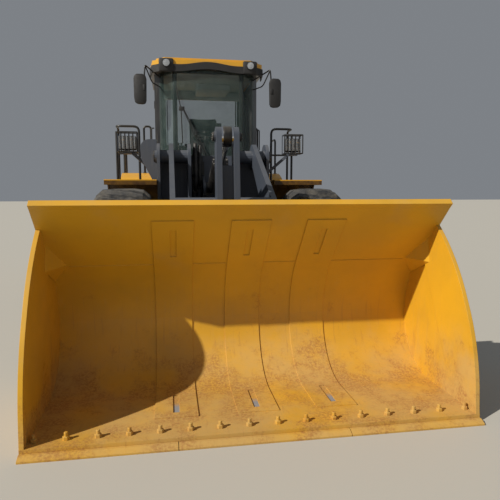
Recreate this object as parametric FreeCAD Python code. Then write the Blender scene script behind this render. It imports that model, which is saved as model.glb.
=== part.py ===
import FreeCAD, Part
import math
import os

os.makedirs("parts", exist_ok=True)
V = FreeCAD.Vector

# Millimetres. x: the machine's left is +x. y: rearwards from the centre pin. z: up from the ground.
# Every node is moved rearwards by PIN_SHIFT at the end, so y = 0 is half the overall length.
PIN_SHIFT = 555.0
SEAT = 0.3

# Wheels and axles
TYRE_R = 800.0
TYRE_W = 600.0
TRACK = 2200.0
BEAD_R = 330.0
WHEEL_SIDES = 16
AXLE_Z = TYRE_R
TYRE_IN = TRACK / 2 - TYRE_W / 2
TYRE_OUT = TRACK / 2 + TYRE_W / 2
FRONT_BASE = 1650.0
REAR_BASE = 1650.0
AXLE_F = -FRONT_BASE
AXLE_R = REAR_BASE
HUB_END = 760.0

# Pivots, (y, z)
BOOM_PIVOT = (-730.0, 2020.0)
BUCKET_PIN = (-3280.0, 290.0)
LINK_PIN = (-3160.0, 660.0)
ROCKER_PIVOT = (-2430.0, 1360.0)
ROCKER_LOW = (-2330.0, 500.0)
ROCKER_TOP = (-2380.0, 2120.0)
LIFT_BASE = (-600.0, 860.0)
LIFT_PIN = (-1830.0, 1300.0)
TILT_BASE = (-780.0, 1600.0)
CROSS = (-2050.0, 1395.0)

# Across the front end
ARM_MID = 555.0
ARM_T = 60.0
LIFT_X = 440.0
ROCKER_GAP = 60.0
ROCKER_T = 57.0
CHEEK_IN = 300.0
CHEEK_OUT = 700.0
CHEEK_T = 40.0


def box(x0, x1, y0, y1, z0, z1):
    return Part.makeBox(x1 - x0, y1 - y0, z1 - z0, V(x0, y0, z0))


def cyl_x(y, z, r, x0, x1):
    return Part.makeCylinder(r, x1 - x0, V(x0, y, z), V(1, 0, 0))


def cyl_y(x, z, r, y0, y1):
    return Part.makeCylinder(r, y1 - y0, V(x, y0, z), V(0, 1, 0))


def cyl_z(x, y, r, z0, z1):
    return Part.makeCylinder(r, z1 - z0, V(x, y, z0), V(0, 0, 1))


def rod(p, q, r):
    a = V(*p)
    d = V(*q) - a
    return Part.makeCylinder(r, d.Length, a, d)


def outline(points, to3d):
    # A point is (u, v); ("arc", mid, end) is an arc through mid to end.
    edges = []
    first = points[0]
    last = first
    for item in points[1:] + [first]:
        if item[0] == "arc":
            edges.append(Part.Arc(to3d(*last), to3d(*item[1]), to3d(*item[2])).toShape())
            last = item[2]
        else:
            if to3d(*item).distanceToPoint(to3d(*last)) > 1e-6:
                edges.append(Part.LineSegment(to3d(*last), to3d(*item)).toShape())
            last = item
    return Part.Face(Part.Wire(edges))


def plate_x(points, x0, x1):
    # Outline in (y, z), extruded from x0 to x1.
    return outline(points, lambda y, z: V(x0, y, z)).extrude(V(x1 - x0, 0, 0))


def plate_y(points, y0, y1):
    # Outline in (x, z), extruded from y0 to y1.
    return outline(points, lambda x, z: V(x, y0, z)).extrude(V(0, y1 - y0, 0))


def plate_z(points, z0, z1):
    # Outline in (x, y), extruded from z0 to z1.
    return outline(points, lambda x, y: V(x, y, z0)).extrude(V(0, 0, z1 - z0))


def bar_x(p, rp, q, rq, x0, x1):
    # A flat link: two round ends of radius rp and rq with their common tangents.
    py, pz = p
    qy, qz = q
    dy, dz = qy - py, qz - pz
    length = math.hypot(dy, dz)
    base = math.atan2(dz, dy)
    lean = math.acos((rp - rq) / length)
    pts = []
    for (cy, cz, r) in ((py, pz, rp), (qy, qz, rq)):
        for side in (1, -1):
            a = base + side * lean
            pts.append((cy + r * math.cos(a), cz + r * math.sin(a)))
    far_p = (py - rp * math.cos(base), pz - rp * math.sin(base))
    far_q = (qy + rq * math.cos(base), qz + rq * math.sin(base))
    return plate_x([pts[0], ("arc", far_p, pts[1]), pts[3], ("arc", far_q, pts[2])], x0, x1)


def join(shapes):
    out = shapes[0]
    if len(shapes) > 1:
        out = out.fuse(shapes[1:])
    return out.removeSplitter()


def both(shape):
    return [shape, shape.mirror(V(0, 0, 0), V(1, 0, 0))]


def ring_of(centre, axis, r, n):
    # Closed n-sided wire around a centre, square to an axis.
    z = V(*axis).normalize()
    side = z.cross(V(0, 0, 1)) if abs(z.z) < 0.9 else z.cross(V(0, 1, 0))
    side.normalize()
    other = z.cross(side)
    pts = []
    for k in range(n):
        a = 2 * math.pi * (k + 0.5) / n
        pts.append(V(*centre) + side * (r * math.cos(a)) + other * (r * math.sin(a)))
    return Part.makePolygon(pts + [pts[0]])


def prism(p, q, r, n=16):
    # Bar of n flats whose middles lie at radius r, between two points.
    a = V(*p)
    d = V(*q) - a
    return Part.Face(ring_of(p, (d.x, d.y, d.z), r / math.cos(math.pi / n), n)).extrude(d)


def boss_x(y, z, r, x0, x1, n=16):
    return prism((x0, y, z), (x1, y, z), r, n)


def tube(points, r, n=8):
    # Bar of n flats along a polyline of (x, y, z) with mitred corners.
    first = V(*points[1]) - V(*points[0])
    path = Part.makePolygon([V(*p) for p in points])
    return path.makePipeShell([ring_of(points[0], (first.x, first.y, first.z), r, n)], True, True, 1)


def faceted(points, n):
    # Profile in (x, radius), turned about x in n flat steps that touch the true circle at their middles.
    faces = []
    corners = []
    grow = 1 / math.cos(math.pi / n)
    for k in range(n):
        a = 2 * math.pi * (k + 0.5) / n
        corners.append([V(x, grow * r * math.sin(a), grow * r * math.cos(a)) for x, r in points])
    for k in range(n):
        here, there = corners[k], corners[(k + 1) % n]
        for i in range(len(points)):
            j = (i + 1) % len(points)
            faces.append(Part.Face(Part.makePolygon([here[i], here[j], there[j], there[i], here[i]])))
    solid = Part.Solid(Part.Shell(faces))
    if solid.Volume < 0:
        solid.reverse()
    return solid


def wedge(corners, quads):
    # Solid from named corner points and the faces between them.
    faces = [Part.Face(Part.makePolygon([V(*corners[i]) for i in quad] + [V(*corners[quad[0]])])) for quad in quads]
    solid = Part.Solid(Part.Shell(faces))
    if solid.Volume < 0:
        solid.reverse()
    return solid


def save(name, shapes):
    shape = shapes if not isinstance(shapes, list) else (
        shapes[0] if len(shapes) == 1 else Part.makeCompound(shapes))
    shape = shape.copy()
    shape.translate(V(0, PIN_SHIFT, 0))
    shape.exportStep("parts/" + name + ".step")


# Bucket. Points are (y, z) from the cutting edge on the ground; the pin lies PIN_BACK behind that edge.
BUCKET_HALF = 1500.0
PIN_BACK = 1300.0
EDGE_Y = BUCKET_PIN[0] - PIN_BACK
SIDE_T = 30.0
EDGE_T = 30.0
FLOOR_T = 25.0
STEP_T = 6.0


def from_edge(points):
    out = []
    for p in points:
        if p[0] == "arc":
            out.append(("arc", (p[1][0] + EDGE_Y, p[1][1]), (p[2][0] + EDGE_Y, p[2][1])))
        else:
            out.append((p[0] + EDGE_Y, p[1]))
    return out


FLOOR_Z = EDGE_T + FLOOR_T
inner = [(60, FLOOR_Z), (700, FLOOR_Z), ("arc", (1039.4, 195.6), (1180, 535)),
         ("arc", (1127, 785), (980, 1010)), (530, 1480)]
outer = [(548, 1497), (998, 1028), ("arc", (1151, 796), (1205, 535)),
         ("arc", (1057.1, 177.9), (700, EDGE_T)), (60, EDGE_T)]
sheet = plate_x(from_edge(inner + outer), -BUCKET_HALF, BUCKET_HALF)
cheek = plate_x(from_edge([(60, EDGE_T), (75, 180), ("arc", (130, 485), (270, 810)), ("arc", (440, 1070), (690, 1315)),
                           (998, 1010), ("arc", (1140, 790), (1192, 535)), ("arc", (1048, 187), (700, EDGE_T + 13)),
                           (700, EDGE_T)]), BUCKET_HALF - SIDE_T + STEP_T, BUCKET_HALF)
front_step = plate_x(from_edge([(60, FLOOR_Z - 5), (75, 180), ("arc", (130, 485), (270, 810)),
                                ("arc", (440, 1070), (690, 1315)), (870, 1135), (839, 985), (345, FLOOR_Z - 5)]),
                     BUCKET_HALF - SIDE_T, BUCKET_HALF - 2)
top_bar = plate_x(from_edge([(520, 1486), (552, 1520), (580, 1492), (548, 1460)]), -BUCKET_HALF, BUCKET_HALF)
rib = plate_x(from_edge([(1000, 1015), (1140, 800), (1190, 800), (1060, 1050)]), 60 - BUCKET_HALF, BUCKET_HALF - 60)
bucket = [sheet, top_bar, rib] + both(cheek) + both(front_step)

# Folded gussets in the upper back corners
GUSSET_IN = 120.0
gx0, gx1 = BUCKET_HALF - SIDE_T - GUSSET_IN, BUCKET_HALF - SIDE_T + 3
gusset_at = [(gx0, EDGE_Y + 985, 1022), (gx1, EDGE_Y + 800, 1212), (gx1, EDGE_Y + 760, 1010),
             (gx1, EDGE_Y + 1075, 880), (gx1, EDGE_Y + 1008, 1018)]
bucket += both(wedge(gusset_at, [(0, 1, 2), (0, 2, 3), (0, 3, 4), (0, 4, 1), (1, 2, 3, 4)]))

# Three raised wear strips, each with a slot on the guard and one on the floor
STRIP_T = 8.0
STRIP_MID_HALF = 146.0
STRIP_SIDE_IN, STRIP_SIDE_OUT = 417.0, 715.0
SLOT_W, SLOT_L = 46.0, 300.0
strip_face = [(330, FLOOR_Z - 2), (330, FLOOR_Z + STRIP_T), (700, FLOOR_Z + STRIP_T),
              ("arc", (1033.8, 201.2), (1172, 535)), ("arc", (1120, 781), (974, 1004.5)), (626, 1368),
              (634, 1375), (982, 1011.5), ("arc", (1129, 786), (1182, 535)),
              ("arc", (1040.8, 194.2), (700, FLOOR_Z - 2))]
for x0, x1 in ((-STRIP_MID_HALF, STRIP_MID_HALF), (STRIP_SIDE_IN, STRIP_SIDE_OUT),
               (-STRIP_SIDE_OUT, -STRIP_SIDE_IN)):
    strip = plate_x(from_edge(strip_face), x0, x1)
    mid = (x0 + x1) / 2
    low = box(mid - SLOT_W / 2, mid + SLOT_W / 2, EDGE_Y + 400, EDGE_Y + 400 + SLOT_L, FLOOR_Z, FLOOR_Z + 40)
    high = plate_x(from_edge([(640, 1365.2), (640 + 0.7 * SLOT_L, 1365.2 - 0.73 * SLOT_L),
                              (620 + 0.7 * SLOT_L, 1345.2 - 0.73 * SLOT_L), (620, 1345.2)]),
                   mid - SLOT_W / 2, mid + SLOT_W / 2)
    high.translate(V(0, 60, -62.6))
    bucket.append(strip.cut(low).cut(high))

# Ears behind the bucket for the arms and the link
EAR_T = 35.0
EAR_GAP = 12.0
ARM_IN, ARM_OUT = ARM_MID - ARM_T / 2, ARM_MID + ARM_T / 2
for x0 in (ARM_IN - EAR_GAP - EAR_T, ARM_OUT + EAR_GAP):
    ear = plate_x(from_edge([(1150, 180), (1290, 195), ("arc", (1395, 290), (1310, 385)), (1260, 700), (1190, 640),
                             (1199, 535)]), x0, x0 + EAR_T)
    bucket += both(ear)
ear = plate_x(from_edge([(1190, 560), (1400, 575), ("arc", (1505, 660), (1420, 745)), (1255, 800), (1150, 780)]), 56, 91)
bucket += both(ear)
bucket += both(boss_x(BUCKET_PIN[0], BUCKET_PIN[1], 55, ARM_IN - EAR_GAP - EAR_T, ARM_IN - 7))
bucket += both(boss_x(BUCKET_PIN[0], BUCKET_PIN[1], 55, ARM_OUT + 7, ARM_OUT + EAR_GAP + EAR_T + 8))
bucket += both(boss_x(LINK_PIN[0], LINK_PIN[1], 45, 55.3, 100, 12))
save("bucket", join(bucket))

EDGE_MIDDLE = 556.0
EDGE_SEAM = 4.0
edges = []
for x0, x1 in ((-BUCKET_HALF, -EDGE_MIDDLE - EDGE_SEAM), (-EDGE_MIDDLE, EDGE_MIDDLE), (EDGE_MIDDLE + EDGE_SEAM, BUCKET_HALF)):
    top = EDGE_T - SEAT
    edges.append(plate_x(from_edge([(0, 0), (300, 0), (300, top), (40, top), (0, 12)]), x0, x1))
save("bucket_cutting_edge", edges)

# Boom: two arms, a cross tube and the ears of the rocker
arm = plate_x([(-808, 2172), (-1080, 2025), (-2140, 1465), (-2430, 1300), (-2620, 1140), (-2750, 970), (-2880, 770),
               (-2980, 650), (-3240, 375), ("arc", (-3368, 313), (-3260, 200)), (-3020, 320), (-2680, 630),
               (-2280, 960), (-1830, 1180), (-1280, 1530), (-820, 1876),
               ("arc", (-562, 2045), (-808, 2172))], ARM_IN, ARM_OUT)
boom = both(arm)
PIVOT_R = 85.0
boom += both(cyl_x(BOOM_PIVOT[0], BOOM_PIVOT[1], PIVOT_R, ARM_IN - 5.7, ARM_OUT + 75.7))
boom += both(cyl_x(BUCKET_PIN[0], BUCKET_PIN[1], 75, ARM_IN - 6.7, ARM_OUT + 6.7))
boom += both(boss_x(LIFT_PIN[0], LIFT_PIN[1], 70, LIFT_X + 50, ARM_IN + 1))
boom.append(boss_x(CROSS[0], CROSS[1], 106, -ARM_IN - 5, ARM_IN + 5, 12))
LUG_IN, LUG_OUT = 125.0, 165.0
boom += both(bar_x(ROCKER_PIVOT, 112, CROSS, 95, LUG_IN, LUG_OUT))
boom += both(boss_x(ROCKER_PIVOT[0], ROCKER_PIVOT[1], 60, ROCKER_GAP + ROCKER_T + SEAT, LUG_OUT + 20))
save("boom", join(boom))

# Rocker: two plates with a web between them; its pins stand out at the sides
ROCKER_OUT = ROCKER_GAP + ROCKER_T
rocker = both(join([bar_x(ROCKER_TOP, 98, ROCKER_PIVOT, 122, ROCKER_GAP, ROCKER_OUT),
                    bar_x(ROCKER_PIVOT, 122, ROCKER_LOW, 92, ROCKER_GAP, ROCKER_OUT)]))
rocker.append(plate_x([(-2460, 1500), (-2430, 1830), (-2380, 1830), (-2350, 1250), (-2400, 950), (-2460, 1200)],
                      -ROCKER_GAP - 2, ROCKER_GAP + 2))
rocker += both(boss_x(ROCKER_TOP[0], ROCKER_TOP[1], 50, ROCKER_GAP + 5, ROCKER_OUT + 16))
rocker += both(boss_x(ROCKER_LOW[0], ROCKER_LOW[1], 45, ROCKER_GAP + 5, ROCKER_OUT + 16, 12))
save("rocker", join(rocker))

link = [bar_x(LINK_PIN, 80, ROCKER_LOW, 80, -50, 50), boss_x(LINK_PIN[0], LINK_PIN[1], 58, -55, 55, 12),
        boss_x(ROCKER_LOW[0], ROCKER_LOW[1], 58, -ROCKER_GAP + SEAT, ROCKER_GAP - SEAT, 12)]
save("bucket_link", join(link))


def along(p, q, s):
    d = math.hypot(q[0] - p[0], q[1] - p[1])
    return (p[0] + (q[0] - p[0]) * s / d, p[1] + (q[1] - p[1]) * s / d)


def strut(p, q, s0, s1, r, x, n=0):
    # Round bar between two distances along a cylinder's line; with n it has n flats.
    a = along(p, q, s0)
    b = along(p, q, s1)
    if n:
        return prism((x, a[0], a[1]), (x, b[0], b[1]), r, n)
    return rod((x, a[0], a[1]), (x, b[0], b[1]), r)


# Lift cylinders: barrel and eye at the base; rod and eye at the arm. Both sides are one body each.
LIFT_BARREL, LIFT_BARREL_R, LIFT_BORE_R, LIFT_ROD_R = 1195.0, 75.0, 60.0, 45.0
lift_len = math.hypot(LIFT_PIN[0] - LIFT_BASE[0], LIFT_PIN[1] - LIFT_BASE[1])
barrel = join([strut(LIFT_BASE, LIFT_PIN, 60, LIFT_BARREL, LIFT_BARREL_R, LIFT_X),
               cyl_x(LIFT_BASE[0], LIFT_BASE[1], 85, LIFT_X - 60.7, LIFT_X + 60.7),
               strut(LIFT_BASE, LIFT_PIN, LIFT_BARREL, LIFT_BARREL + 30, LIFT_BARREL_R + 4, LIFT_X)])
barrel = barrel.cut(strut(LIFT_BASE, LIFT_PIN, 105, LIFT_BARREL, LIFT_BORE_R, LIFT_X, 12))
barrel = barrel.cut(strut(LIFT_BASE, LIFT_PIN, LIFT_BARREL - 5, LIFT_BARREL + 35, LIFT_ROD_R + 0.4, LIFT_X))
save("lift_cylinder_barrels", both(barrel))
lrod = join([strut(LIFT_BASE, LIFT_PIN, 120, lift_len - 40, LIFT_ROD_R, LIFT_X),
             strut(LIFT_BASE, LIFT_PIN, 112, 150, LIFT_BORE_R - 2.5, LIFT_X, 12),
             cyl_x(LIFT_PIN[0], LIFT_PIN[1], 72, LIFT_X - 42, LIFT_X + 49.7)])
save("lift_cylinder_rods", both(lrod))

TILT_BARREL, TILT_BARREL_R, TILT_BORE_R, TILT_ROD_R = 945.0, 90.0, 75.0, 45.0
tilt_len = math.hypot(ROCKER_TOP[0] - TILT_BASE[0], ROCKER_TOP[1] - TILT_BASE[1])
barrel = join([strut(TILT_BASE, ROCKER_TOP, 60, TILT_BARREL, TILT_BARREL_R, 0),
               cyl_x(TILT_BASE[0], TILT_BASE[1], 85, -99.7, 99.7),
               strut(TILT_BASE, ROCKER_TOP, TILT_BARREL, TILT_BARREL + 37, TILT_BARREL_R + 3, 0)])
barrel = barrel.cut(strut(TILT_BASE, ROCKER_TOP, 97, TILT_BARREL, TILT_BORE_R, 0, 12))
barrel = barrel.cut(strut(TILT_BASE, ROCKER_TOP, TILT_BARREL - 5, TILT_BARREL + 45, TILT_ROD_R + 0.4, 0))
save("tilt_cylinder_barrel", barrel)
trod = join([strut(TILT_BASE, ROCKER_TOP, 700, tilt_len - 60, TILT_ROD_R, 0),
             strut(TILT_BASE, ROCKER_TOP, 692, 722, TILT_BORE_R - 3.0, 0, 12),
             cyl_x(ROCKER_TOP[0], ROCKER_TOP[1], 100, -ROCKER_GAP + SEAT, ROCKER_GAP - SEAT)])
save("tilt_cylinder_rod", trod)

# Front frame: side plates over the axle, tower plates, cross plates, hitch plates, steering ears
TOWER_BACK = -510.0
PLATE_T = 30.0
CHEEK_IN_T, CHEEK_OUT_T = CHEEK_IN + CHEEK_T, CHEEK_OUT + CHEEK_T
top_arc = [(TOWER_BACK - 25, 2080), ("arc", (-595, 2160), (-730, 2190)), ("arc", (-850, 2140), (-900, 2020))]
frame_front = AXLE_F - 290
inner_plate = plate_x([(frame_front, 700), (-250, 620), (-250, 1200), (TOWER_BACK - 10, 1330)] + top_arc +
                      [(-940, 1300), (AXLE_F + 270, 1080), (frame_front, 1020)], CHEEK_IN, CHEEK_IN_T)
front = both(inner_plate)
front += both(boss_x(BOOM_PIVOT[0], BOOM_PIVOT[1], PIVOT_R, CHEEK_IN_T - 1, ARM_IN - 6))
outer_plate = plate_x([(-880, 1250), (TOWER_BACK - 20, 1250)] + top_arc, CHEEK_OUT, CHEEK_OUT_T)
front += both(outer_plate)
front += both(boss_x(BOOM_PIVOT[0], BOOM_PIVOT[1], PIVOT_R, ARM_OUT + 76, CHEEK_OUT_T + 30))
front += both(box(CHEEK_IN, CHEEK_OUT_T + 5, TOWER_BACK - PLATE_T, TOWER_BACK, 1250, 1980))
front += both(plate_z([(535, -900), (CHEEK_OUT_T, -880), (CHEEK_OUT_T, TOWER_BACK), (535, TOWER_BACK)], 1230, 1260))
front += both(box(531, 561, -680, TOWER_BACK, 780, 1240))
front += both(box(CHEEK_IN_T - 10, 561, TOWER_BACK - 2, TOWER_BACK + 28, 780, 1240))
front += both(boss_x(LIFT_BASE[0], LIFT_BASE[1], 45, LIFT_X + 61, 575, 12))
front += both(boss_x(LIFT_BASE[0], LIFT_BASE[1], 45, CHEEK_IN_T - 5, LIFT_X - 61, 12))
front.append(box(-CHEEK_IN - 10, CHEEK_IN + 10, TOWER_BACK - PLATE_T, TOWER_BACK, 1250, 2050))
TILT_EAR = 105.0
ear = plate_x([(TOWER_BACK - 10, 1450), (TOWER_BACK - 10, 1780), (-780, 1690), ("arc", (-868, 1600), (-780, 1510))],
              TILT_EAR, TILT_EAR + 35)
front += both(ear)
front += both(boss_x(TILT_BASE[0], TILT_BASE[1], 45, 100, TILT_EAR + 1, 12))
front.append(box(-CHEEK_IN - 10, CHEEK_IN + 10, frame_front, frame_front + 40, 700, 1020))
front.append(box(-CHEEK_IN - 10, CHEEK_IN + 10, AXLE_F + 520, AXLE_F + 560, 680, 1100))
front.append(box(-330, 330, -290, -250, 560, 1200))
for z0 in (560, 1140):
    front.append(plate_z([(-330, -270), (330, -270), (330, -100), (110, 20), ("arc", (0, 130), (-110, 20)),
                          (-330, -100)], z0, z0 + 60))
for z0 in (700, 820):
    front += both(plate_z([(295, -280), (340, -280), (410, -160), ("arc", (395, -95), (335, -85)), (295, -180)],
                          z0, z0 + 30))
front += both(box(270, 340, -380, -245, 690, 860))
PIN_R = 40.0
shaft_way = box(-150, 150, AXLE_F + 470, 120, AXLE_Z - 100, AXLE_Z + 150)
axle_way = box(-400, 400, AXLE_F - 130, AXLE_F + 130, 600, AXLE_Z + 130)
front_frame = join(front).cut([shaft_way, axle_way, cyl_z(0, 0, PIN_R + 0.06, 480, 1280)])
save("front_frame", front_frame)


def axle(y, half):
    ends = [(half, 30), (half, 186), (690, 186), (690, 120), (260, 120), (110, 230)]
    shape = faceted(ends + [(-x, r) for x, r in reversed(ends)], 16)
    shape.translate(V(0, y, AXLE_Z))
    return [shape]


PINION = 500.0
front_axle = axle(AXLE_F, HUB_END)
front_axle += both(box(CHEEK_IN_T + SEAT, 400, AXLE_F - 120, AXLE_F + 120, AXLE_Z, 1000))
front_axle.append(cyl_y(0, AXLE_Z, 70, AXLE_F + 200, AXLE_F + PINION))
front_axle.append(prism((-HUB_END, AXLE_F, AXLE_Z), (HUB_END, AXLE_F, AXLE_Z), 40, 8))
save("front_axle", join(front_axle))
SHAFT_END = -205.0
save("front_drive_shaft", join([cyl_y(0, AXLE_Z, 42, AXLE_F + PINION + SEAT, SHAFT_END),
                                cyl_y(0, AXLE_Z, 75, SHAFT_END - 40, SHAFT_END)]))

TRUNNION_Z = AXLE_Z + 200
rear_axle = axle(AXLE_R, HUB_END)
rear_axle.append(prism((-HUB_END, AXLE_R, AXLE_Z), (HUB_END, AXLE_R, AXLE_Z), 40, 8))
rear_axle.append(cyl_y(0, AXLE_Z, 70, AXLE_R - 420, AXLE_R - 180))
rear_axle.append(box(-150, 150, AXLE_R - 150, AXLE_R + 150, AXLE_Z - 20, TRUNNION_Z - 40))
rear_axle.append(cyl_y(0, TRUNNION_Z, 60, AXLE_R - 230, AXLE_R + 230))
save("rear_axle", join(rear_axle))

# Wheels: tyres with interlocking lugs, dished rims with a planetary hub; the left side is modelled and mirrored
LUG_H = 38.0
TREAD_R = TYRE_R - LUG_H
SHOULDER = 75.0
half_face = [(88, BEAD_R), (12, 450), (0, 610), (SHOULDER, TREAD_R)]
profile = [(TYRE_IN + x, r) for x, r in half_face] + [(TYRE_OUT - x, r) for x, r in reversed(half_face)]
tyre = faceted(profile, WHEEL_SIDES)
pitch = 2 * TREAD_R * math.tan(math.pi / WHEEL_SIDES)
LUG_SHARE = 0.27


def lug(toward, x_end):
    # A block from past the middle out over the shoulder; its sides lean back towards the shoulder.
    x_mid = TRACK / 2 + toward * 50
    knee = x_end + toward * 58
    lean = toward * pitch * 0.17
    shift = -toward * pitch * 0.2
    tops = [(x_mid, lean, TYRE_R), (knee, -lean, TYRE_R), (x_end, -lean, TREAD_R - 60)]
    roots = [(x_mid, lean, TREAD_R - 12), (knee, -lean, TREAD_R - 30), (x_end + toward * 20, -lean, TREAD_R - 70)]
    at = [(x, u + shift - pitch * LUG_SHARE, r) for x, u, r in tops + roots]
    at += [(x, u + shift + pitch * LUG_SHARE, r) for x, u, r in tops + roots]
    return wedge(at, [(0, 1, 7, 6), (1, 2, 8, 7), (2, 5, 11, 8), (5, 4, 10, 11), (4, 3, 9, 10), (3, 0, 6, 9),
                      (0, 1, 4, 3), (1, 2, 5, 4), (6, 7, 10, 9), (7, 8, 11, 10)])


lugs = []
for toward, x_end in ((1, TYRE_IN + 6), (-1, TYRE_OUT - 6)):
    block = lug(toward, x_end)
    for k in range(WHEEL_SIDES):
        one = block.copy()
        one.rotate(V(0, 0, 0), V(1, 0, 0), 360.0 * k / WHEEL_SIDES)
        lugs.append(one)
tyre = tyre.fuse(lugs)
rim_profile = [(HUB_END + SEAT, 50), (TYRE_OUT - 150, 50), (TYRE_OUT - 160, 160), (TYRE_OUT - 225, 185),
               (TYRE_OUT - 180, BEAD_R - 42), (TYRE_OUT - 60, BEAD_R - 42), (TYRE_OUT - 60, BEAD_R - 0.5),
               (TYRE_IN + 60, BEAD_R - 0.5), (TYRE_IN + 60, BEAD_R - 42), (TYRE_OUT - 265, BEAD_R - 42),
               (TYRE_OUT - 275, 185), (HUB_END + SEAT, 185)]
HUB_CAP_R = 66.0
rim = faceted(rim_profile, WHEEL_SIDES).fuse(cyl_x(0, 0, HUB_CAP_R, TYRE_OUT - 185, TYRE_OUT - 132))
for tag, y in (("front", AXLE_F), ("rear", AXLE_R)):
    for side in ("left", "right"):
        for what, shape in (("tyre", tyre), ("rim", rim)):
            s = shape.copy()
            if side == "right":
                s = s.mirror(V(0, 0, 0), V(1, 0, 0))
            s.translate(V(0, y, AXLE_Z))
            save(what + "_" + tag + "_" + side, s)

# Front fenders, lamps and the housing beside the right tower plate
FENDER_T = 20.0
FENDER_TOP = TYRE_R + 890.0
FENDER_OUT = 1370.0
fender = plate_x([(-1210, FENDER_TOP), (-880, FENDER_TOP), (-715, 1450), (-700, 1150), (-680, 1150), (-695, 1455),
                  (-868, FENDER_TOP + FENDER_T), (-1230, FENDER_TOP + FENDER_T), (-1230, FENDER_TOP - 45),
                  (-1210, FENDER_TOP - 45)], CHEEK_OUT_T + SEAT, FENDER_OUT)
lip = plate_x([(-1230, FENDER_TOP - 45), (-1225, FENDER_TOP + FENDER_T), (-868, FENDER_TOP + FENDER_T), (-695, 1455),
               (-680, 1150), (-730, 1150), (-748, 1430), (-895, FENDER_TOP - 45)], FENDER_OUT - 15, FENDER_OUT)
save("front_fenders", both(join([fender, lip])))

LAMP_X, LAMP_Y, LAMP_Z = 1125.0, -620.0, 2095.0
LAMP_W, LAMP_D, LAMP_H = 230.0, 110.0, 200.0
foot_x = CHEEK_OUT_T + SEAT
LAMP_ARM, LAMP_ARM_R = [(foot_x + 17, -570, 1800), (LAMP_X - 60, LAMP_Y, LAMP_Z - 26)], 28.0
bracket = [tube(LAMP_ARM, LAMP_ARM_R, 4),
           box(foot_x, foot_x + 35, TOWER_BACK - 95, TOWER_BACK - PLATE_T - SEAT, 1750, 1850),
           box(LAMP_X - 60, LAMP_X + 60, LAMP_Y - 55, LAMP_Y + 55, LAMP_Z - 40, LAMP_Z - 10)]
cage_x, cage_y, cage_h = LAMP_W / 2 + 20, LAMP_D / 2 + 25, LAMP_H + 35
BAR = 5.0
for z in (LAMP_Z - 15, LAMP_Z + cage_h):
    for x0, x1, y0, y1 in ((-cage_x, cage_x, -cage_y, -cage_y + 2 * BAR), (-cage_x, cage_x, cage_y - 2 * BAR, cage_y),
                           (-cage_x, -cage_x + 2 * BAR, -cage_y, cage_y), (cage_x - 2 * BAR, cage_x, -cage_y, cage_y)):
        bracket.append(box(LAMP_X + x0, LAMP_X + x1, LAMP_Y + y0, LAMP_Y + y1, z, z + 2 * BAR))
CAGE_BARS = 6
for k in range(CAGE_BARS):
    x = LAMP_X - cage_x + k * (2 * cage_x - 2 * BAR) / (CAGE_BARS - 1)
    bracket.append(box(x, x + 2 * BAR, LAMP_Y - cage_y, LAMP_Y - cage_y + 2 * BAR, LAMP_Z - 10, LAMP_Z + cage_h + BAR))
for k in (-1, 1):
    x = LAMP_X + k * (cage_x - BAR)
    bracket.append(box(x - BAR, x + BAR, LAMP_Y + cage_y - 2 * BAR, LAMP_Y + cage_y, LAMP_Z - 10, LAMP_Z + cage_h + BAR))
bracket.append(box(LAMP_X - 60, LAMP_X + 60, LAMP_Y - cage_y, LAMP_Y + cage_y, LAMP_Z - 15, LAMP_Z - 5))
save("headlamp_brackets", both(join(bracket)))
lamp = plate_x([(LAMP_Y - LAMP_D / 2, LAMP_Z + 12), (LAMP_Y + LAMP_D / 2, LAMP_Z + 40),
                (LAMP_Y + LAMP_D / 2, LAMP_Z + LAMP_H - 30), (LAMP_Y - LAMP_D / 2, LAMP_Z + LAMP_H)],
               LAMP_X - LAMP_W / 2, LAMP_X + LAMP_W / 2)
lamp = join([lamp, box(LAMP_X - 30, LAMP_X + 30, LAMP_Y - 30, LAMP_Y + 30, LAMP_Z - 4.7, LAMP_Z + 40)])
save("headlamps", both(lamp))

HOUSING_OUT = 955.0
housing = plate_y([(-foot_x, 1700), (-foot_x, 2240), (-HOUSING_OUT + 110, 2240), ("arc", (-HOUSING_OUT + 25, 2195),
                   (-HOUSING_OUT, 2110)), (-HOUSING_OUT + 10, 1985), (-foot_x - 60, 1700)], TOWER_BACK - 250, TOWER_BACK - 40)
lamp_foot = box(-foot_x - 36, -foot_x + 1, TOWER_BACK - 96, TOWER_BACK - 25, 1749, 1851)
lamp_arm = tube([(-x, y, z) for x, y, z in LAMP_ARM], LAMP_ARM_R + 1, 4)
pivot_end = boss_x(BOOM_PIVOT[0], BOOM_PIVOT[1], PIVOT_R + 1, -CHEEK_OUT_T - 31, -CHEEK_OUT_T)
save("tower_side_housing", housing.cut([lamp_foot, lamp_arm, pivot_end]))

# Valve block on the tower's cross plate, right of the tilt cylinder's way
valve_back = TOWER_BACK - PLATE_T - SEAT
VALVE_X0, VALVE_X1 = -285.0, -115.0
valve = [box(VALVE_X0, VALVE_X1, valve_back - 130, valve_back, 1790, 1960),
         box(VALVE_X0 + 20, VALVE_X1 - 20, valve_back - 110, valve_back - 20, 1955, 2030)]
for k in range(3):
    x = VALVE_X0 + 28 + k * (VALVE_X1 - VALVE_X0 - 84) / 2
    valve.append(prism((x, valve_back - 65, 1750), (x, valve_back - 65, 1795), 16, 6))
save("pilot_valve_block", join(valve))

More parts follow.
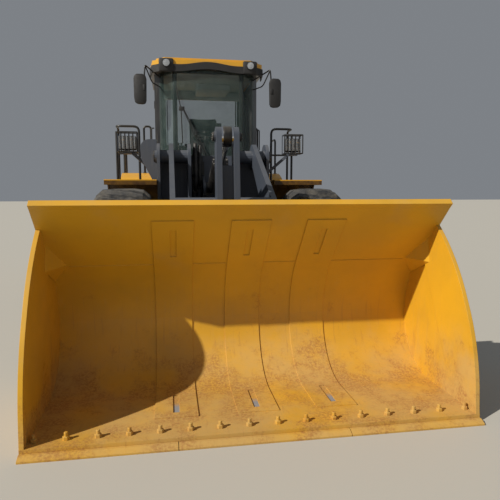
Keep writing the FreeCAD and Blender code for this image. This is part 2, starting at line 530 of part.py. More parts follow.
# Rear chassis: rails, hitch plates, cross plates, cradle plates of the swinging axle, brackets
RAIL_IN, RAIL_OUT = 330.0, 375.0
RAIL_Z0, RAIL_Z1 = 1060.0, 1340.0
HOOD_HALF, HOOD_Z0 = 640.0, RAIL_Z1 + 1
RAIL_END = AXLE_R + 1070
CAB_HALF = 780.0
CAB_T = 40.0
CAB_FRONT = AXLE_R - 1730
CAB_BACK = AXLE_R - 190
ROOF_TOP = 3450.0
CAB_Z0, CAB_SILL, CAB_Z1 = 1630.0, 1950.0, ROOF_TOP - 160
ENGINE_Y0, ENGINE_Y1 = AXLE_R + 250, AXLE_R + 1020
chassis = both(box(RAIL_IN, RAIL_OUT, 180, RAIL_END, RAIL_Z0, RAIL_Z1))
chassis.append(box(-300, 300, 180, 220, 480, RAIL_Z0))
chassis.append(box(-RAIL_IN - 5, RAIL_IN + 5, 180, 220, RAIL_Z0, RAIL_Z1))
chassis += both(plate_x([(215, 480), (320, 480), (570, 1065), (215, 1065)], 260, 300))
chassis += both(box(255, RAIL_IN + 5, 215, 570, RAIL_Z0, RAIL_Z0 + 30))
for y0 in (980, RAIL_END - 40):
    chassis.append(box(-RAIL_IN - 5, RAIL_IN + 5, y0, y0 + 40, RAIL_Z0, RAIL_Z1))
for z0 in (488, 628, 1072, 1212):
    chassis.append(plate_z([(-200, 200), (-110, -20), ("arc", (0, -110), (110, -20)), (200, 200)], z0, z0 + 64))
for z0, z1 in ((480, 690), (1070, 1280)):
    chassis.append(cyl_z(0, 0, PIN_R, z0, z1))
for y0 in (AXLE_R - 245, AXLE_R + 215):
    plate = plate_y([(-335, RAIL_Z0 + 5), (-90, TRUNNION_Z - 60), (90, TRUNNION_Z - 60), (335, RAIL_Z0 + 5),
                     (335, RAIL_Z1), (-335, RAIL_Z1)], y0, y0 + 30)
    chassis.append(plate.cut(cyl_y(0, TRUNNION_Z, 60.06, y0 - 15, y0 + 45)))
for z0 in (700, 820):
    chassis += both(plate_z([(RAIL_OUT - 5, 700), (450, 710), ("arc", (490, 770), (450, 830)), (RAIL_OUT - 5, 840)],
                            z0, z0 + 30))
chassis += both(box(RAIL_IN + 2, RAIL_OUT - 4, 690, 840, 695, RAIL_Z0))
for y0 in (CAB_FRONT + 600, CAB_BACK - 160):
    chassis += both(box(RAIL_IN, RAIL_OUT, y0, y0 + 90, RAIL_Z1 - 10, CAB_Z0 - SEAT))
for y0 in (ENGINE_Y0 - 80, ENGINE_Y1 - 100):
    chassis += both(box(RAIL_OUT - 5, HOOD_HALF, y0, y0 + 60, RAIL_Z1 - 60, HOOD_Z0 - SEAT))
way = prism((0, 120, AXLE_Z), (0, 320, AXLE_Z), 110, 12)
save("rear_chassis", join(chassis).cut(way))

GEAR_Y0, GEAR_Y1 = 420.0, 960.0
gearbox = [box(-250, 250, GEAR_Y0, GEAR_Y1, 620, 1330), box(-RAIL_IN + SEAT, RAIL_IN - SEAT, 620, 720, 1000, 1200),
           cyl_y(0, AXLE_Z, 60, 165, GEAR_Y0 + 5), cyl_y(0, AXLE_Z, 75, 125, 165),
           cyl_y(0, AXLE_Z, 60, GEAR_Y1 - 5, AXLE_R - 425)]
save("gearbox", join(gearbox))
save("engine_block", box(-RAIL_IN + SEAT, RAIL_IN - SEAT, ENGINE_Y0, ENGINE_Y1, 1000, 1900))

# Hood with side louvres, grille with slats, counterweight with the tow pin's way
HOOD_Y0, HOOD_Y1 = CAB_BACK + 40, AXLE_R + 1410
HOOD_TOP, HOOD_T = 2280.0, 40.0


def hood_line(t):
    return [(-HOOD_HALF + t, HOOD_Z0 - t), (-HOOD_HALF + t, HOOD_TOP - 130), (-HOOD_HALF + 110 + t / 2, HOOD_TOP - t),
            (HOOD_HALF - 110 - t / 2, HOOD_TOP - t), (HOOD_HALF - t, HOOD_TOP - 130), (HOOD_HALF - t, HOOD_Z0 - t)]


hood = plate_y(hood_line(0), HOOD_Y0, HOOD_Y1).cut(plate_y(hood_line(HOOD_T), HOOD_Y0 + HOOD_T, HOOD_Y1 - HOOD_T))
LOUVRES, LOUVRE_W, LOUVRE_H = 7, 420.0, 34.0
ways = []
for start in (HOOD_Y0 + 330, HOOD_Y0 + 900):
    for k in range(LOUVRES):
        z = 1560 + k * 66
        ways += both(box(HOOD_HALF - HOOD_T - 10, HOOD_HALF + 10, start, start + LOUVRE_W, z, z + LOUVRE_H))
save("hood", hood.cut(ways))
GRILLE_HALF, GRILLE_Z0, GRILLE_Z1, GRILLE_T = 560.0, 1420.0, 2180.0, 60.0
y0, y1 = HOOD_Y1 + SEAT, HOOD_Y1 + GRILLE_T
grille = [box(-GRILLE_HALF, GRILLE_HALF, y0, y1, GRILLE_Z0, GRILLE_Z1).cut(
    box(-GRILLE_HALF + 50, GRILLE_HALF - 50, y0 + 12, y1 + 10, GRILLE_Z0 + 50, GRILLE_Z1 - 50))]
SLATS = 11
for k in range(SLATS):
    z = GRILLE_Z0 + 50 + (k + 0.5) * (GRILLE_Z1 - GRILLE_Z0 - 100) / SLATS
    grille.append(plate_x([(y1 - 42, z + 20), (y1 - 36, z + 20), (y1 - 6, z - 14), (y1 - 12, z - 14)],
                          -GRILLE_HALF + 45, GRILLE_HALF - 45))
grille.append(box(-12, 12, y0 + 5, y1 - 8, GRILLE_Z0 + 45, GRILLE_Z1 - 45))
save("hood_rear_grille", join(grille))
WEIGHT_Y0, WEIGHT_Y1, WEIGHT_HALF = RAIL_END + 100, AXLE_R + 1820, 1250.0
wx, wy = RAIL_OUT + SEAT, RAIL_END + SEAT
weight = plate_z([(-WEIGHT_HALF, WEIGHT_Y0), (-wx, WEIGHT_Y0), (-wx, wy), (wx, wy), (wx, WEIGHT_Y0),
                  (WEIGHT_HALF, WEIGHT_Y0), (WEIGHT_HALF, WEIGHT_Y1 - 250), (WEIGHT_HALF - 250, WEIGHT_Y1),
                  (250 - WEIGHT_HALF, WEIGHT_Y1), (-WEIGHT_HALF, WEIGHT_Y1 - 250)], 640, RAIL_Z1)
TOW_Y, TOW_Z = WEIGHT_Y1 - 75, 700.0
weight = weight.cut([box(-90, 90, TOW_Y - 75, WEIGHT_Y1 + 50, TOW_Z, TOW_Z + 80), cyl_z(0, TOW_Y, 25, 600, 1000)])
save("counterweight", weight)

# Boxes, deck and steps beside the cab; deck and arch over the rear wheels
DECK_Z, DECK_T = 1600.0, 25.0
DECK_IN, DECK_OUT = CAB_HALF + 5, 1400.0
BOX_Y0, BOX_Y1, BOX_OUT, BOX_Z0 = 390.0, AXLE_R - TYRE_R - 40, 1370.0, 1000.0
boxes = box(RAIL_OUT + SEAT, BOX_OUT, BOX_Y0, BOX_Y1, BOX_Z0, DECK_Z - SEAT)
save("side_boxes", both(boxes))
ARCH_Z = 1845.0
ARCH_TOP = ARCH_Z + DECK_T
ARCH = [(-630, DECK_Z), (-510, ARCH_Z - 160), (-380, ARCH_Z - 80), (-230, ARCH_Z - 24), (-130, ARCH_Z), (470, ARCH_Z)]
over = [(AXLE_R + y, z) for y, z in ARCH]
back = [(AXLE_R + y, z) for y, z in [(700, 1680), (720, 1700), (480, ARCH_TOP)]]
under = [(AXLE_R + y - 5 * (i > 0) - 5, z + DECK_T) for i, (y, z) in reversed(list(enumerate(ARCH[:-1])))]
deck = plate_x([(180, DECK_Z)] + over + back + under + [(180, DECK_Z + DECK_T)], DECK_IN, DECK_OUT)
inner_deck = plate_x(over + [(AXLE_R + 470, ARCH_TOP)] + under, HOOD_HALF + 5, DECK_IN + 5)
save("rear_fenders", both(deck.fuse(inner_deck).removeSplitter()))
STEP_Y0, STEP_Y1, STEP_IN, STEP_OUT = 185.0, 380.0, 1100.0, 1380.0
ladder = []
for z in (560, 860, 1180):
    ladder.append(box(STEP_IN, STEP_OUT, STEP_Y0, STEP_Y1, z, z + 30).cut(
        box(STEP_IN + 25, STEP_OUT - 25, STEP_Y0 + 35, STEP_Y1 - 35, z - 5, z + 35)))
    for k in (1, 2):
        y = STEP_Y0 + 30 + k * (STEP_Y1 - STEP_Y0 - 60) / 3
        ladder.append(box(STEP_IN + 20, STEP_OUT - 20, y - 8, y + 8, z + 6, z + 30))
for x0 in (STEP_IN - 15, STEP_OUT - 1):
    ladder.append(box(x0, x0 + 16, STEP_Y0, BOX_Y0 - SEAT, 540, DECK_Z - SEAT))
save("steps", both(join(ladder)))

# Handrails: a loop with a corner by the steps, a narrow loop behind the cab, and a long one beside the hood
RAIL_TUBE = 17.0
RAIL_TOP, RAIL_MID, RAIL_X0, RAIL_X1 = 2540.0, 2130.0, 1030.0, 1370.0
rail_y0, rail_y1 = BOX_Y0 + 10, BOX_Y0 + 310
deck_top, arch_top = DECK_Z + DECK_T + SEAT, ARCH_TOP + SEAT
loop = tube([(RAIL_X1, rail_y1, deck_top), (RAIL_X1, rail_y1, RAIL_TOP), (RAIL_X1, rail_y0, RAIL_TOP),
             (RAIL_X0, rail_y0, RAIL_TOP), (RAIL_X0, rail_y0, deck_top)], RAIL_TUBE, 6)
leg = tube([(RAIL_X1, rail_y0, deck_top), (RAIL_X1, rail_y0, RAIL_TOP)], RAIL_TUBE, 6)
across = tube([(RAIL_X0, rail_y0, RAIL_MID), (RAIL_X1, rail_y0, RAIL_MID)], RAIL_TUBE, 6)
rails = both(loop.fuse([leg, across]))
for x0, y0, x1, y1, top in ((890, AXLE_R - 100, 1010, AXLE_R - 100, 2680), (1370, AXLE_R + 20, 1370, AXLE_R + 420, 2500)):
    rails += both(tube([(x0, y0, arch_top), (x0, y0, top), (x1, y1, top), (x1, y1, arch_top)], RAIL_TUBE, 6))
save("handrails", rails)

# Cab: floor, shell in panels with cut windows, roof, glass, doors
half = CAB_HALF
cab_out = [(90 - half, CAB_FRONT + 250), (280 - half, CAB_FRONT), (half - 280, CAB_FRONT), (half - 90, CAB_FRONT + 250),
           (half, CAB_FRONT + 430), (half, CAB_BACK), (-half, CAB_BACK), (-half, CAB_FRONT + 430)]
inn = half - CAB_T
cab_in = [(90 - inn, CAB_FRONT + 265), (260 - inn, CAB_FRONT + 40), (inn - 260, CAB_FRONT + 40), (inn - 90, CAB_FRONT + 265),
          (inn, CAB_FRONT + 440), (inn, CAB_BACK - CAB_T), (-inn, CAB_BACK - CAB_T), (-inn, CAB_FRONT + 440)]
SHELL_Z0 = CAB_Z0 + 40 + SEAT
shell = plate_z(cab_out, SHELL_Z0, CAB_Z1).cut(plate_z(cab_in, CAB_Z0, CAB_Z1 + 10))
DOOR_Y0, DOOR_Y1 = CAB_FRONT + 460, CAB_FRONT + 1060
DOOR_Z0, DOOR_Z1 = CAB_Z0 + 70, CAB_Z1 - 90
CAB_SPLIT = DOOR_Y0 - 5
KNUCKLE_R = 14.0
HINGE_X, HINGE_Y = half + KNUCKLE_R + SEAT, DOOR_Y1 + 6
GLASS_Z0, GLASS_Z1 = CAB_SILL, CAB_Z1 - 50
GLASS_T = 6.0
deck_gap = [(y - 1, z) for y, z in [(AXLE_R - 670, DECK_Z), (AXLE_R - 670, DECK_Z + DECK_T + SEAT)]]
deck_gap += [(y, z + SEAT) for y, z in reversed(under)] + [(AXLE_R - 130, 1915 + 5 + SEAT), (AXLE_R - 130, DECK_Z)]
arch_cut = both(plate_x(deck_gap, HOOD_HALF + 4.7, half + 20))
save("cab_floor", plate_z(cab_out, CAB_Z0, CAB_Z0 + 40).cut(arch_cut))
pane_half = half - 328.0
front_hole = box(-pane_half, pane_half, CAB_FRONT - 100, CAB_FRONT + 100, GLASS_Z0, GLASS_Z1)


def corner(s0, s1, t0, t1):
    # Rectangle along the slanted front corner: s along the wall, t inwards.
    ux, uy = 190.0 / 314.0, 250.0 / 314.0
    return [(half - 280 + ux * a - uy * b, CAB_FRONT + uy * a + ux * b)
            for a, b in ((s0, t0), (s1, t0), (s1, t1), (s0, t1))]


corner_hole = plate_z(corner(30, 290, -15, 60), GLASS_Z0, GLASS_Z1)
cab_front = shell.common(box(-900, 900, CAB_FRONT - 100, CAB_SPLIT, CAB_Z0 - 30, CAB_Z1 + 100))
save("cab_front", cab_front.cut([front_hole] + both(corner_hole)))
WAIST = CAB_SILL + 200
window = (DOOR_Y1 + 180, CAB_BACK - 60, WAIST, CAB_Z1 - 140)
side = box(inn, half, CAB_SPLIT + SEAT, CAB_BACK, SHELL_Z0, CAB_Z1).cut(arch_cut)
side = side.cut([box(inn - 40, half + 20, DOOR_Y0, DOOR_Y1, DOOR_Z0, DOOR_Z1), box(inn - 40, half + 20, *window)])
knuckles = []
DOOR_KNUCKLES = (CAB_SILL - 50, CAB_Z1 - 390)
for z in [k + 60 + SEAT for k in DOOR_KNUCKLES]:
    knuckles.append(cyl_z(HINGE_X, HINGE_Y, KNUCKLE_R, z, z + 60))
    knuckles.append(box(half - 10, HINGE_X, HINGE_Y + 4, HINGE_Y + 40, z, z + 60))
save("cab_sides", both(join([side] + knuckles)))
rear_wall = box(-inn + SEAT, inn - SEAT, CAB_BACK - CAB_T, CAB_BACK, SHELL_Z0, CAB_Z1).cut(arch_cut)
back_pane = (half - 160, WAIST + 200, CAB_Z1 - 110)
save("cab_rear", rear_wall.cut(box(-back_pane[0], back_pane[0], CAB_BACK - 140, CAB_BACK + 60, *back_pane[1:])))
roof_line = [(-half - 15, CAB_FRONT + 60), (115 - half, CAB_FRONT - 60), (half - 115, CAB_FRONT - 60),
             (half + 15, CAB_FRONT + 60), (half + 50, CAB_FRONT + 400), (half + 50, CAB_BACK + 50),
             (-half - 50, CAB_BACK + 50), (-half - 50, CAB_FRONT + 400)]
crown_line = [(x * 0.93, CAB_FRONT + 700 + (y - CAB_FRONT - 700) * 0.93) for x, y in roof_line]
roof = plate_z(roof_line, CAB_Z1 + SEAT, ROOF_TOP - 40).fuse(plate_z(crown_line, ROOF_TOP - 60, ROOF_TOP))
roof = roof.cut(plate_z(cab_in, CAB_Z1 - 90, ROOF_TOP - 50))
save("cab_roof", roof)
panes = [box(SEAT - pane_half, pane_half - SEAT, CAB_FRONT + 16, CAB_FRONT + 24, GLASS_Z0 + SEAT, GLASS_Z1 - SEAT),
         box(SEAT - back_pane[0], back_pane[0] - SEAT, CAB_BACK - 24, CAB_BACK - 16, back_pane[1] + SEAT, back_pane[2] - SEAT)]
panes += both(plate_z(corner(30 + SEAT, 290 - SEAT, 16, 16 + GLASS_T), GLASS_Z0 + SEAT, GLASS_Z1 - SEAT))
panes += both(box(inn + 17, inn + 17 + GLASS_T, window[0] + SEAT, window[1] - SEAT, window[2] + SEAT, window[3] - SEAT))
save("cab_glass", panes)
DOOR_GAP = 6.0
dy0, dy1, dz0, dz1 = DOOR_Y0 + DOOR_GAP, DOOR_Y1 - DOOR_GAP, DOOR_Z0 + DOOR_GAP, DOOR_Z1 - DOOR_GAP
frame_w = 70.0
door = box(inn + 2, half + 4, dy0, dy1, dz0, dz1).cut(
    [box(inn - 40, half + 20, dy0 + frame_w, dy1 - frame_w, WAIST, dz1 - frame_w),
     box(inn - 40, half + 20, dy0 + frame_w, dy1 - frame_w, dz0 + frame_w, WAIST - frame_w)])
door_parts = [door]
for z in DOOR_KNUCKLES:
    door_parts += [cyl_z(HINGE_X, HINGE_Y, KNUCKLE_R, z, z + 60), box(half + SEAT, HINGE_X - 2, HINGE_Y - 60, HINGE_Y, z, z + 60)]
door = join(door_parts)
pane = [box(inn + 20, inn + 20 + GLASS_T, dy0 + frame_w + SEAT, dy1 - frame_w - SEAT, z0 + SEAT, z1 - SEAT)
        for z0, z1 in ((WAIST, dz1 - frame_w), (dz0 + frame_w, WAIST - frame_w))]
for side, k in (("left", 1), ("right", -1)):
    for what, shapes in (("cab_door", [door]), ("cab_door_glass", pane)):
        save(what + "_" + side, [s if k > 0 else s.mirror(V(0, 0, 0), V(1, 0, 0)) for s in shapes])

# Inside the cab: seat on its base, dash, steering column and wheel
seat_y, seat_top = CAB_FRONT + 800, CAB_Z1 - 500
arm_z = 2110 + (seat_top - 2110) * 9 / 34
floor_z = CAB_Z0 + 40 + SEAT
seat = [box(-200, 200, seat_y + 60, seat_y + 480, floor_z, 1960),
        plate_x([(seat_y, 1960), (seat_y - 10, 2090), (seat_y + 90, 2110), (seat_y + 480, 2075), (seat_y + 500, 1960)], -250, 250),
        plate_x([(seat_y + 385, 2060), (seat_y + 500, seat_top - 10), (seat_y + 560, seat_top), (seat_y + 590, seat_top - 60),
                 (seat_y + 505, 2000), (seat_y + 400, 2000)], -235, 235)]
seat += both(box(265, 325, seat_y + 60, seat_y + 440, arm_z, arm_z + 45))
seat += both(box(230, 270, seat_y + 400, seat_y + 460, arm_z - 60, arm_z + 40))
save("seat", join(seat))
STEER_R, STEER_TILT, STEER_GRIP = 190.0, 15.7, 14.0
steer_y, steer_z = CAB_FRONT + 465, 2398.0
wheel_ring = faceted([(-STEER_GRIP, STEER_R - STEER_GRIP), (STEER_GRIP, STEER_R - STEER_GRIP),
                      (STEER_GRIP, STEER_R + STEER_GRIP), (-STEER_GRIP, STEER_R + STEER_GRIP)], 16)
wheel_ring.rotate(V(0, 0, 0), V(0, 1, 0), -90)
wheel_ring.rotate(V(0, 0, 0), V(1, 0, 0), -STEER_TILT)
wheel_ring.translate(V(0, steer_y, steer_z))
dash = plate_x([(CAB_FRONT + 90, floor_z), (CAB_FRONT + 90, 2010), (CAB_FRONT + 170, 2080), (CAB_FRONT + 310, 2040),
                (CAB_FRONT + 330, 1900), (CAB_FRONT + 250, floor_z)], -300, 300)
column = join([prism((0, steer_y - 185, 1720), (0, steer_y - 5, steer_z - 18), 35, 8), wheel_ring, dash,
               tube([(-STEER_R, steer_y, steer_z), (STEER_R, steer_y, steer_z)], STEER_GRIP, 6),
               prism((0, steer_y - 15, steer_z - 54), (0, steer_y + 1, steer_z + 3), 40, 8)])
save("dash_and_steering", column)

# Outside the cab: mirrors, roof lamps, exhaust
MIRROR_X0, MIRROR_X1, MIRROR_Y, MIRROR_Z0, MIRROR_Z1 = 866.0, 1056.0, CAB_FRONT - 100, CAB_Z1 - 520, CAB_Z1 - 110
near_x = half - 75
mirror = join([tube([(near_x, CAB_FRONT + 290, CAB_Z1 - 80), (890, MIRROR_Y, CAB_Z1 + 20), (960, MIRROR_Y, MIRROR_Z1 - 10)], 11, 6),
               tube([(near_x, CAB_FRONT + 290, CAB_Z1 - 225), (880, MIRROR_Y, CAB_Z1 - 190)], 11, 6),
               plate_z([(MIRROR_X0, MIRROR_Y), (MIRROR_X0 + 25, MIRROR_Y - 35), (MIRROR_X1 - 25, MIRROR_Y - 35),
                        (MIRROR_X1, MIRROR_Y), (MIRROR_X1, MIRROR_Y + 25), (MIRROR_X0, MIRROR_Y + 25)],
                       MIRROR_Z0, MIRROR_Z1)])
keep_out = outline(cab_out, lambda x, y: V(x, y, 1600)).makeOffset2D(SEAT).extrude(V(0, 0, 1800))
save("mirrors", both(mirror.cut(keep_out)))
LAMP_R = 55.0
lamp_z = ROOF_TOP - 95
lamps = []
for x, y, face in ((half - 180, CAB_FRONT - 60, -1), (half - 170, CAB_BACK + 50, 1)):
    lamps += both(prism((x, y + SEAT * face, lamp_z), (x, y + 60 * face, lamp_z), LAMP_R, 16))
save("roof_work_lamps", lamps)
STACK_X, STACK_Y = 330.0, AXLE_R + 270
save("exhaust_stack", join([prism((STACK_X, STACK_Y, HOOD_TOP + SEAT), (STACK_X, STACK_Y, HOOD_TOP + 30), 80, 12),
                            prism((STACK_X, STACK_Y, HOOD_TOP + 20), (STACK_X, STACK_Y, HOOD_TOP + 520), 60, 12)]))

# Steering cylinders, one each side; front eyes on the front frame, rear eyes on the rear chassis
STEER_FRONT, STEER_REAR, STEER_Z = (360.0, -130.0), (430.0, 770.0), 775.0
STEER_EYE_H = 89.4
steer_len = math.hypot(STEER_FRONT[0] - STEER_REAR[0], STEER_FRONT[1] - STEER_REAR[1])


def steer(s0, s1, r, n=0):
    ux, uy = (STEER_FRONT[0] - STEER_REAR[0]) / steer_len, (STEER_FRONT[1] - STEER_REAR[1]) / steer_len
    a = (STEER_REAR[0] + ux * s0, STEER_REAR[1] + uy * s0, STEER_Z)
    b = (STEER_REAR[0] + ux * s1, STEER_REAR[1] + uy * s1, STEER_Z)
    return prism(a, b, r, n) if n else rod(a, b, r)


eye_z = STEER_Z - STEER_EYE_H / 2
barrel = join([steer(30, 575, 44), cyl_z(STEER_REAR[0], STEER_REAR[1], 42, eye_z, eye_z + STEER_EYE_H)])
barrel = barrel.cut(steer(66, 550, 35, 10)).cut(steer(500, 600, 25.4))
steer_rod = join([steer(300, steer_len - 20, 25), steer(296, 316, 33, 10),
                  cyl_z(STEER_FRONT[0], STEER_FRONT[1], 38, eye_z, eye_z + STEER_EYE_H)])
for side, k in (("left", 1), ("right", -1)):
    for what, shape in (("steering_cylinder_barrel", barrel), ("steering_cylinder_rod", steer_rod)):
        save(what + "_" + side, shape if k > 0 else shape.mirror(V(0, 0, 0), V(1, 0, 0)))
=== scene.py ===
import bmesh
import bpy
import math
from mathutils import Matrix, Vector


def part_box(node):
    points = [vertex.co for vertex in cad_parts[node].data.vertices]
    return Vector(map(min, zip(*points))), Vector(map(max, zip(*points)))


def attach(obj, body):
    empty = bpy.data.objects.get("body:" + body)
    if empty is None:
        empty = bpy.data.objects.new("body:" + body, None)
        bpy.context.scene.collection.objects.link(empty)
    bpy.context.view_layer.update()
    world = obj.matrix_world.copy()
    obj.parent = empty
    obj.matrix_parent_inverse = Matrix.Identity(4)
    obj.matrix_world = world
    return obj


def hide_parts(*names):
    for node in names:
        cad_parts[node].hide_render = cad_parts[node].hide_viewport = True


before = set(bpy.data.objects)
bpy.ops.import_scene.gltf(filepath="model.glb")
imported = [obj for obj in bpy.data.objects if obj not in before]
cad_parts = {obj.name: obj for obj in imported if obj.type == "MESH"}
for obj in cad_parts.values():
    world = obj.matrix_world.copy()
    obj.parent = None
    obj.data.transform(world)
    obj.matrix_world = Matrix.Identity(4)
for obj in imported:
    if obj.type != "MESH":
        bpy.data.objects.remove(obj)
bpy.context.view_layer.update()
scene = bpy.context.scene


# Studio. A pale floor, a soft sky all round and one sharp sun from the machine's right front, so that the
# bucket's right cheek shades its floor as on the yard. The camera stands at eye height, before the bucket.
def added(name, data):
    # A new object in the scene.
    thing = bpy.data.objects.new(name, data)
    scene.collection.objects.link(thing)
    return thing


camera = added("camera", bpy.data.cameras.new("camera"))
camera.location = (-0.582, -6.902, 1.596)
camera.rotation_euler = (math.radians(82.91), 0.0, math.radians(-9.18))
camera.data.sensor_width = 36.0
camera.data.lens = 35.45
scene.camera = camera
scene.view_settings.view_transform = "Standard"
sky = bpy.data.worlds.new("sky")
sky.use_nodes = True
sky.node_tree.nodes["Background"].inputs["Color"].default_value = (0.86, 0.92, 1.0, 1)
sky.node_tree.nodes["Background"].inputs["Strength"].default_value = 0.24
scene.world = sky
sun_lamp = bpy.data.lights.new("sun", "SUN")
sun_lamp.energy = 4.35
sun_lamp.angle = math.radians(0.9)
sun_lamp.color = (1.0, 0.95, 0.87)
towards_sun = Vector((-0.730, -0.358, 0.583))
added("sun", sun_lamp).rotation_euler = towards_sun.to_track_quat("Z", "Y").to_euler()


def shade(mesh, edge):
    # Smooth faces, with sharp edges from an angle on.
    mesh.shade_smooth()
    mesh.set_sharp_from_angle(angle=math.radians(edge))


def mesh_piece(name, verts, faces, material, edge=None):
    # A new object whose mesh holds its place; flat faces where no edge angle is given.
    mesh = bpy.data.meshes.new(name)
    mesh.from_pydata([tuple(v) for v in verts], [], faces)
    mesh.materials.append(material)
    work = bmesh.new()
    work.from_mesh(mesh)
    bmesh.ops.remove_doubles(work, verts=work.verts, dist=1e-5)
    bmesh.ops.recalc_face_normals(work, faces=work.faces)
    work.to_mesh(mesh)
    work.free()
    if edge:
        shade(mesh, edge)
    return added(name, mesh)


floor_look = bpy.data.materials.new("yard_floor")
floor_look.use_nodes = True
inputs = floor_look.node_tree.nodes["Principled BSDF"].inputs
inputs["Base Color"].default_value = (0.48, 0.46, 0.41, 1)
inputs["Roughness"].default_value = 0.85
half = 60
floor = mesh_piece("floor", [(-half, -half, 0), (half, -half, 0), (half, half, 0), (-half, half, 0)],
                   [(0, 1, 2, 3)], floor_look)


# Paint. Every painted part of the machine has the same coat: thick enamel with orange peel, worn thin on
# its edges, dusty where it faces up, and streaked where rain has run down. The group holds that coat.
class Wiring:
    # Short calls for a node tree: a node with its settings, inputs set or linked by name or number.
    def __init__(self, tree):
        self.tree = tree

    def add(self, kind, settings=None, **inputs):
        node = self.tree.nodes.new(kind)
        for key, value in (settings or {}).items():
            setattr(node, key, value)
        for key, value in inputs.items():
            self.put(node.inputs[int(key[1:]) if key[1:].isdigit() else key], value)
        return node

    def put(self, socket, value):
        if isinstance(value, bpy.types.NodeSocket):
            self.tree.links.new(value, socket)
        else:
            socket.default_value = value

    def maths(self, operation, a, b=0.0, clamp=False):
        return self.add("ShaderNodeMath", {"operation": operation, "use_clamp": clamp}, n0=a, n1=b).outputs[0]

    def times(self, first, *others):
        for other in others:
            first = self.maths("MULTIPLY", first, other)
        return first

    def noise(self, where, scale, detail, rough=0.55, stretch=(1, 1, 1)):
        moved = self.add("ShaderNodeMapping", Vector=where, Scale=stretch).outputs[0]
        return self.add("ShaderNodeTexNoise", Vector=moved, Scale=scale, Detail=detail,
                        Roughness=rough).outputs[0]

    def span(self, value, low, high, out_low=0.0, out_high=1.0):
        return self.add("ShaderNodeMapRange", {"clamp": True, "interpolation_type": "SMOOTHSTEP"}, n0=value,
                        n1=low, n2=high, n3=out_low, n4=out_high).outputs[0]

    def uneven(self, where, scale, detail, least, most):
        # Changes in soft patches between two values.
        return self.span(self.noise(where, scale, detail), 0.3, 0.7, least, most)

    def wave(self, where, scale, bands):
        node = self.add("ShaderNodeTexWave", {"bands_direction": bands}, Vector=where, Scale=scale)
        return node.outputs["Fac"]

    def blend(self, share, a, b):
        node = self.add("ShaderNodeMix", {"data_type": "RGBA"})
        for number, value in ((0, share), (6, a), (7, b)):
            self.put(node.inputs[number], value)
        return node.outputs[2]

    def surface(self, colour, roughness, height=None, strength=0.3, depth=0.001, soft=0.0, **others):
        # The material's shader: colour, roughness, relief over edges softened by a radius, other inputs.
        if height is not None:
            bump = self.add("ShaderNodeBump", Strength=strength, Distance=depth, Height=height)
            if soft:
                soft_edge = self.add("ShaderNodeBevel", {"samples": 4}, Radius=soft)
                self.put(bump.inputs["Normal"], soft_edge.outputs[0])
            others["Normal"] = bump.outputs[0]
        for name, value in {"Base Color": colour, "Roughness": roughness, **others}.items():
            self.put(self.tree.nodes["Principled BSDF"].inputs[name], value)


def new_group(name, tree_kind, outputs, **inputs):
    # A node group with named inputs and outputs: the group, its wiring and what its inputs give.
    group = bpy.data.node_groups.new(name, tree_kind)
    for in_out, sockets in (("INPUT", inputs), ("OUTPUT", outputs)):
        for socket_name, kind in sockets.items():
            group.interface.new_socket(socket_name, in_out=in_out, socket_type="NodeSocket" + kind)
    w = Wiring(group)
    return group, w, w.add("NodeGroupInput").outputs


def new_look(name):
    # A new material: its wiring, the place on the piece and the material.
    material = bpy.data.materials.new(name)
    material.use_nodes = True
    w = Wiring(material.node_tree)
    return w, w.add("ShaderNodeTexCoord").outputs["Object"], material


coat, w, given = new_group("enamel coat", "ShaderNodeTree",
                           {"Color": "Color", "Roughness": "Float", "Height": "Float"}, Paint="Color",
                           Under="Color", Dust="Color", Dustiness="Float", Chips="Float", Streaks="Float",
                           Gloss="Float")
coordinates = w.add("ShaderNodeTexCoord").outputs
place = coordinates["Object"]
upward = w.add("ShaderNodeSeparateXYZ", Vector=coordinates["Normal"]).outputs["Z"]
rounded = w.add("ShaderNodeBevel", {"samples": 4}, Radius=0.006).outputs[0]
flat = w.add("ShaderNodeNewGeometry").outputs["Normal"]
edge = w.add("ShaderNodeVectorMath", {"operation": "DOT_PRODUCT"}, n0=rounded, n1=flat).outputs["Value"]
edge = w.span(edge, 0.97, 0.8)
cloud = w.noise(place, 1.7, 4)
speck = w.noise(place, 45, 4, 0.65)
scuff = w.noise(place, 9, 6, 0.7)
chip_spots = w.times(w.span(speck, 0.60, 0.66), w.span(scuff, 0.52, 0.62))
edge_wear = w.times(edge, w.span(w.noise(place, 16, 4, 0.7), 0.45, 0.6))
bare = w.maths("MULTIPLY", w.maths("MAXIMUM", chip_spots, edge_wear), given["Chips"], clamp=True)
streak = w.span(w.noise(place, 5.0, 5, 0.6, (7, 7, 0.35)), 0.5, 0.78)
steep = w.span(w.maths("ABSOLUTE", upward), 0.75, 0.3)
streak = w.times(streak, steep, given["Streaks"])
lying = w.times(w.span(upward, 0.1, 0.85), w.span(scuff, 0.25, 0.7, 0.45, 1.0))
film = w.times(w.span(cloud, 0.35, 0.75), 0.3)
dust = w.maths("MULTIPLY", w.maths("MAXIMUM", lying, film), given["Dustiness"], clamp=True)
tone = w.blend(w.span(cloud, 0.3, 0.7, 0.0, 0.16), given["Paint"], (0, 0, 0, 1))
for share, colour in ((streak, given["Dust"]), (dust, given["Dust"]), (bare, given["Under"])):
    tone = w.blend(share, tone, colour)
rough = w.maths("ADD", given["Gloss"], w.times(w.maths("MAXIMUM", dust, bare), 0.45), clamp=True)
peel = w.maths("ADD", w.times(w.noise(place, 220, 2), 0.12), w.times(bare, -0.5))
w.add("NodeGroupOutput", Color=tone, Roughness=rough, Height=peel)


def coated(w, paint, under, gloss, dustiness, chips, streaks):
    # What the coat gives in one colour over another.
    return w.add("ShaderNodeGroup", {"node_tree": coat}, Paint=paint, Under=under, Gloss=gloss,
                 Dust=(0.42, 0.37, 0.29, 1), Dustiness=dustiness, Chips=chips, Streaks=streaks).outputs


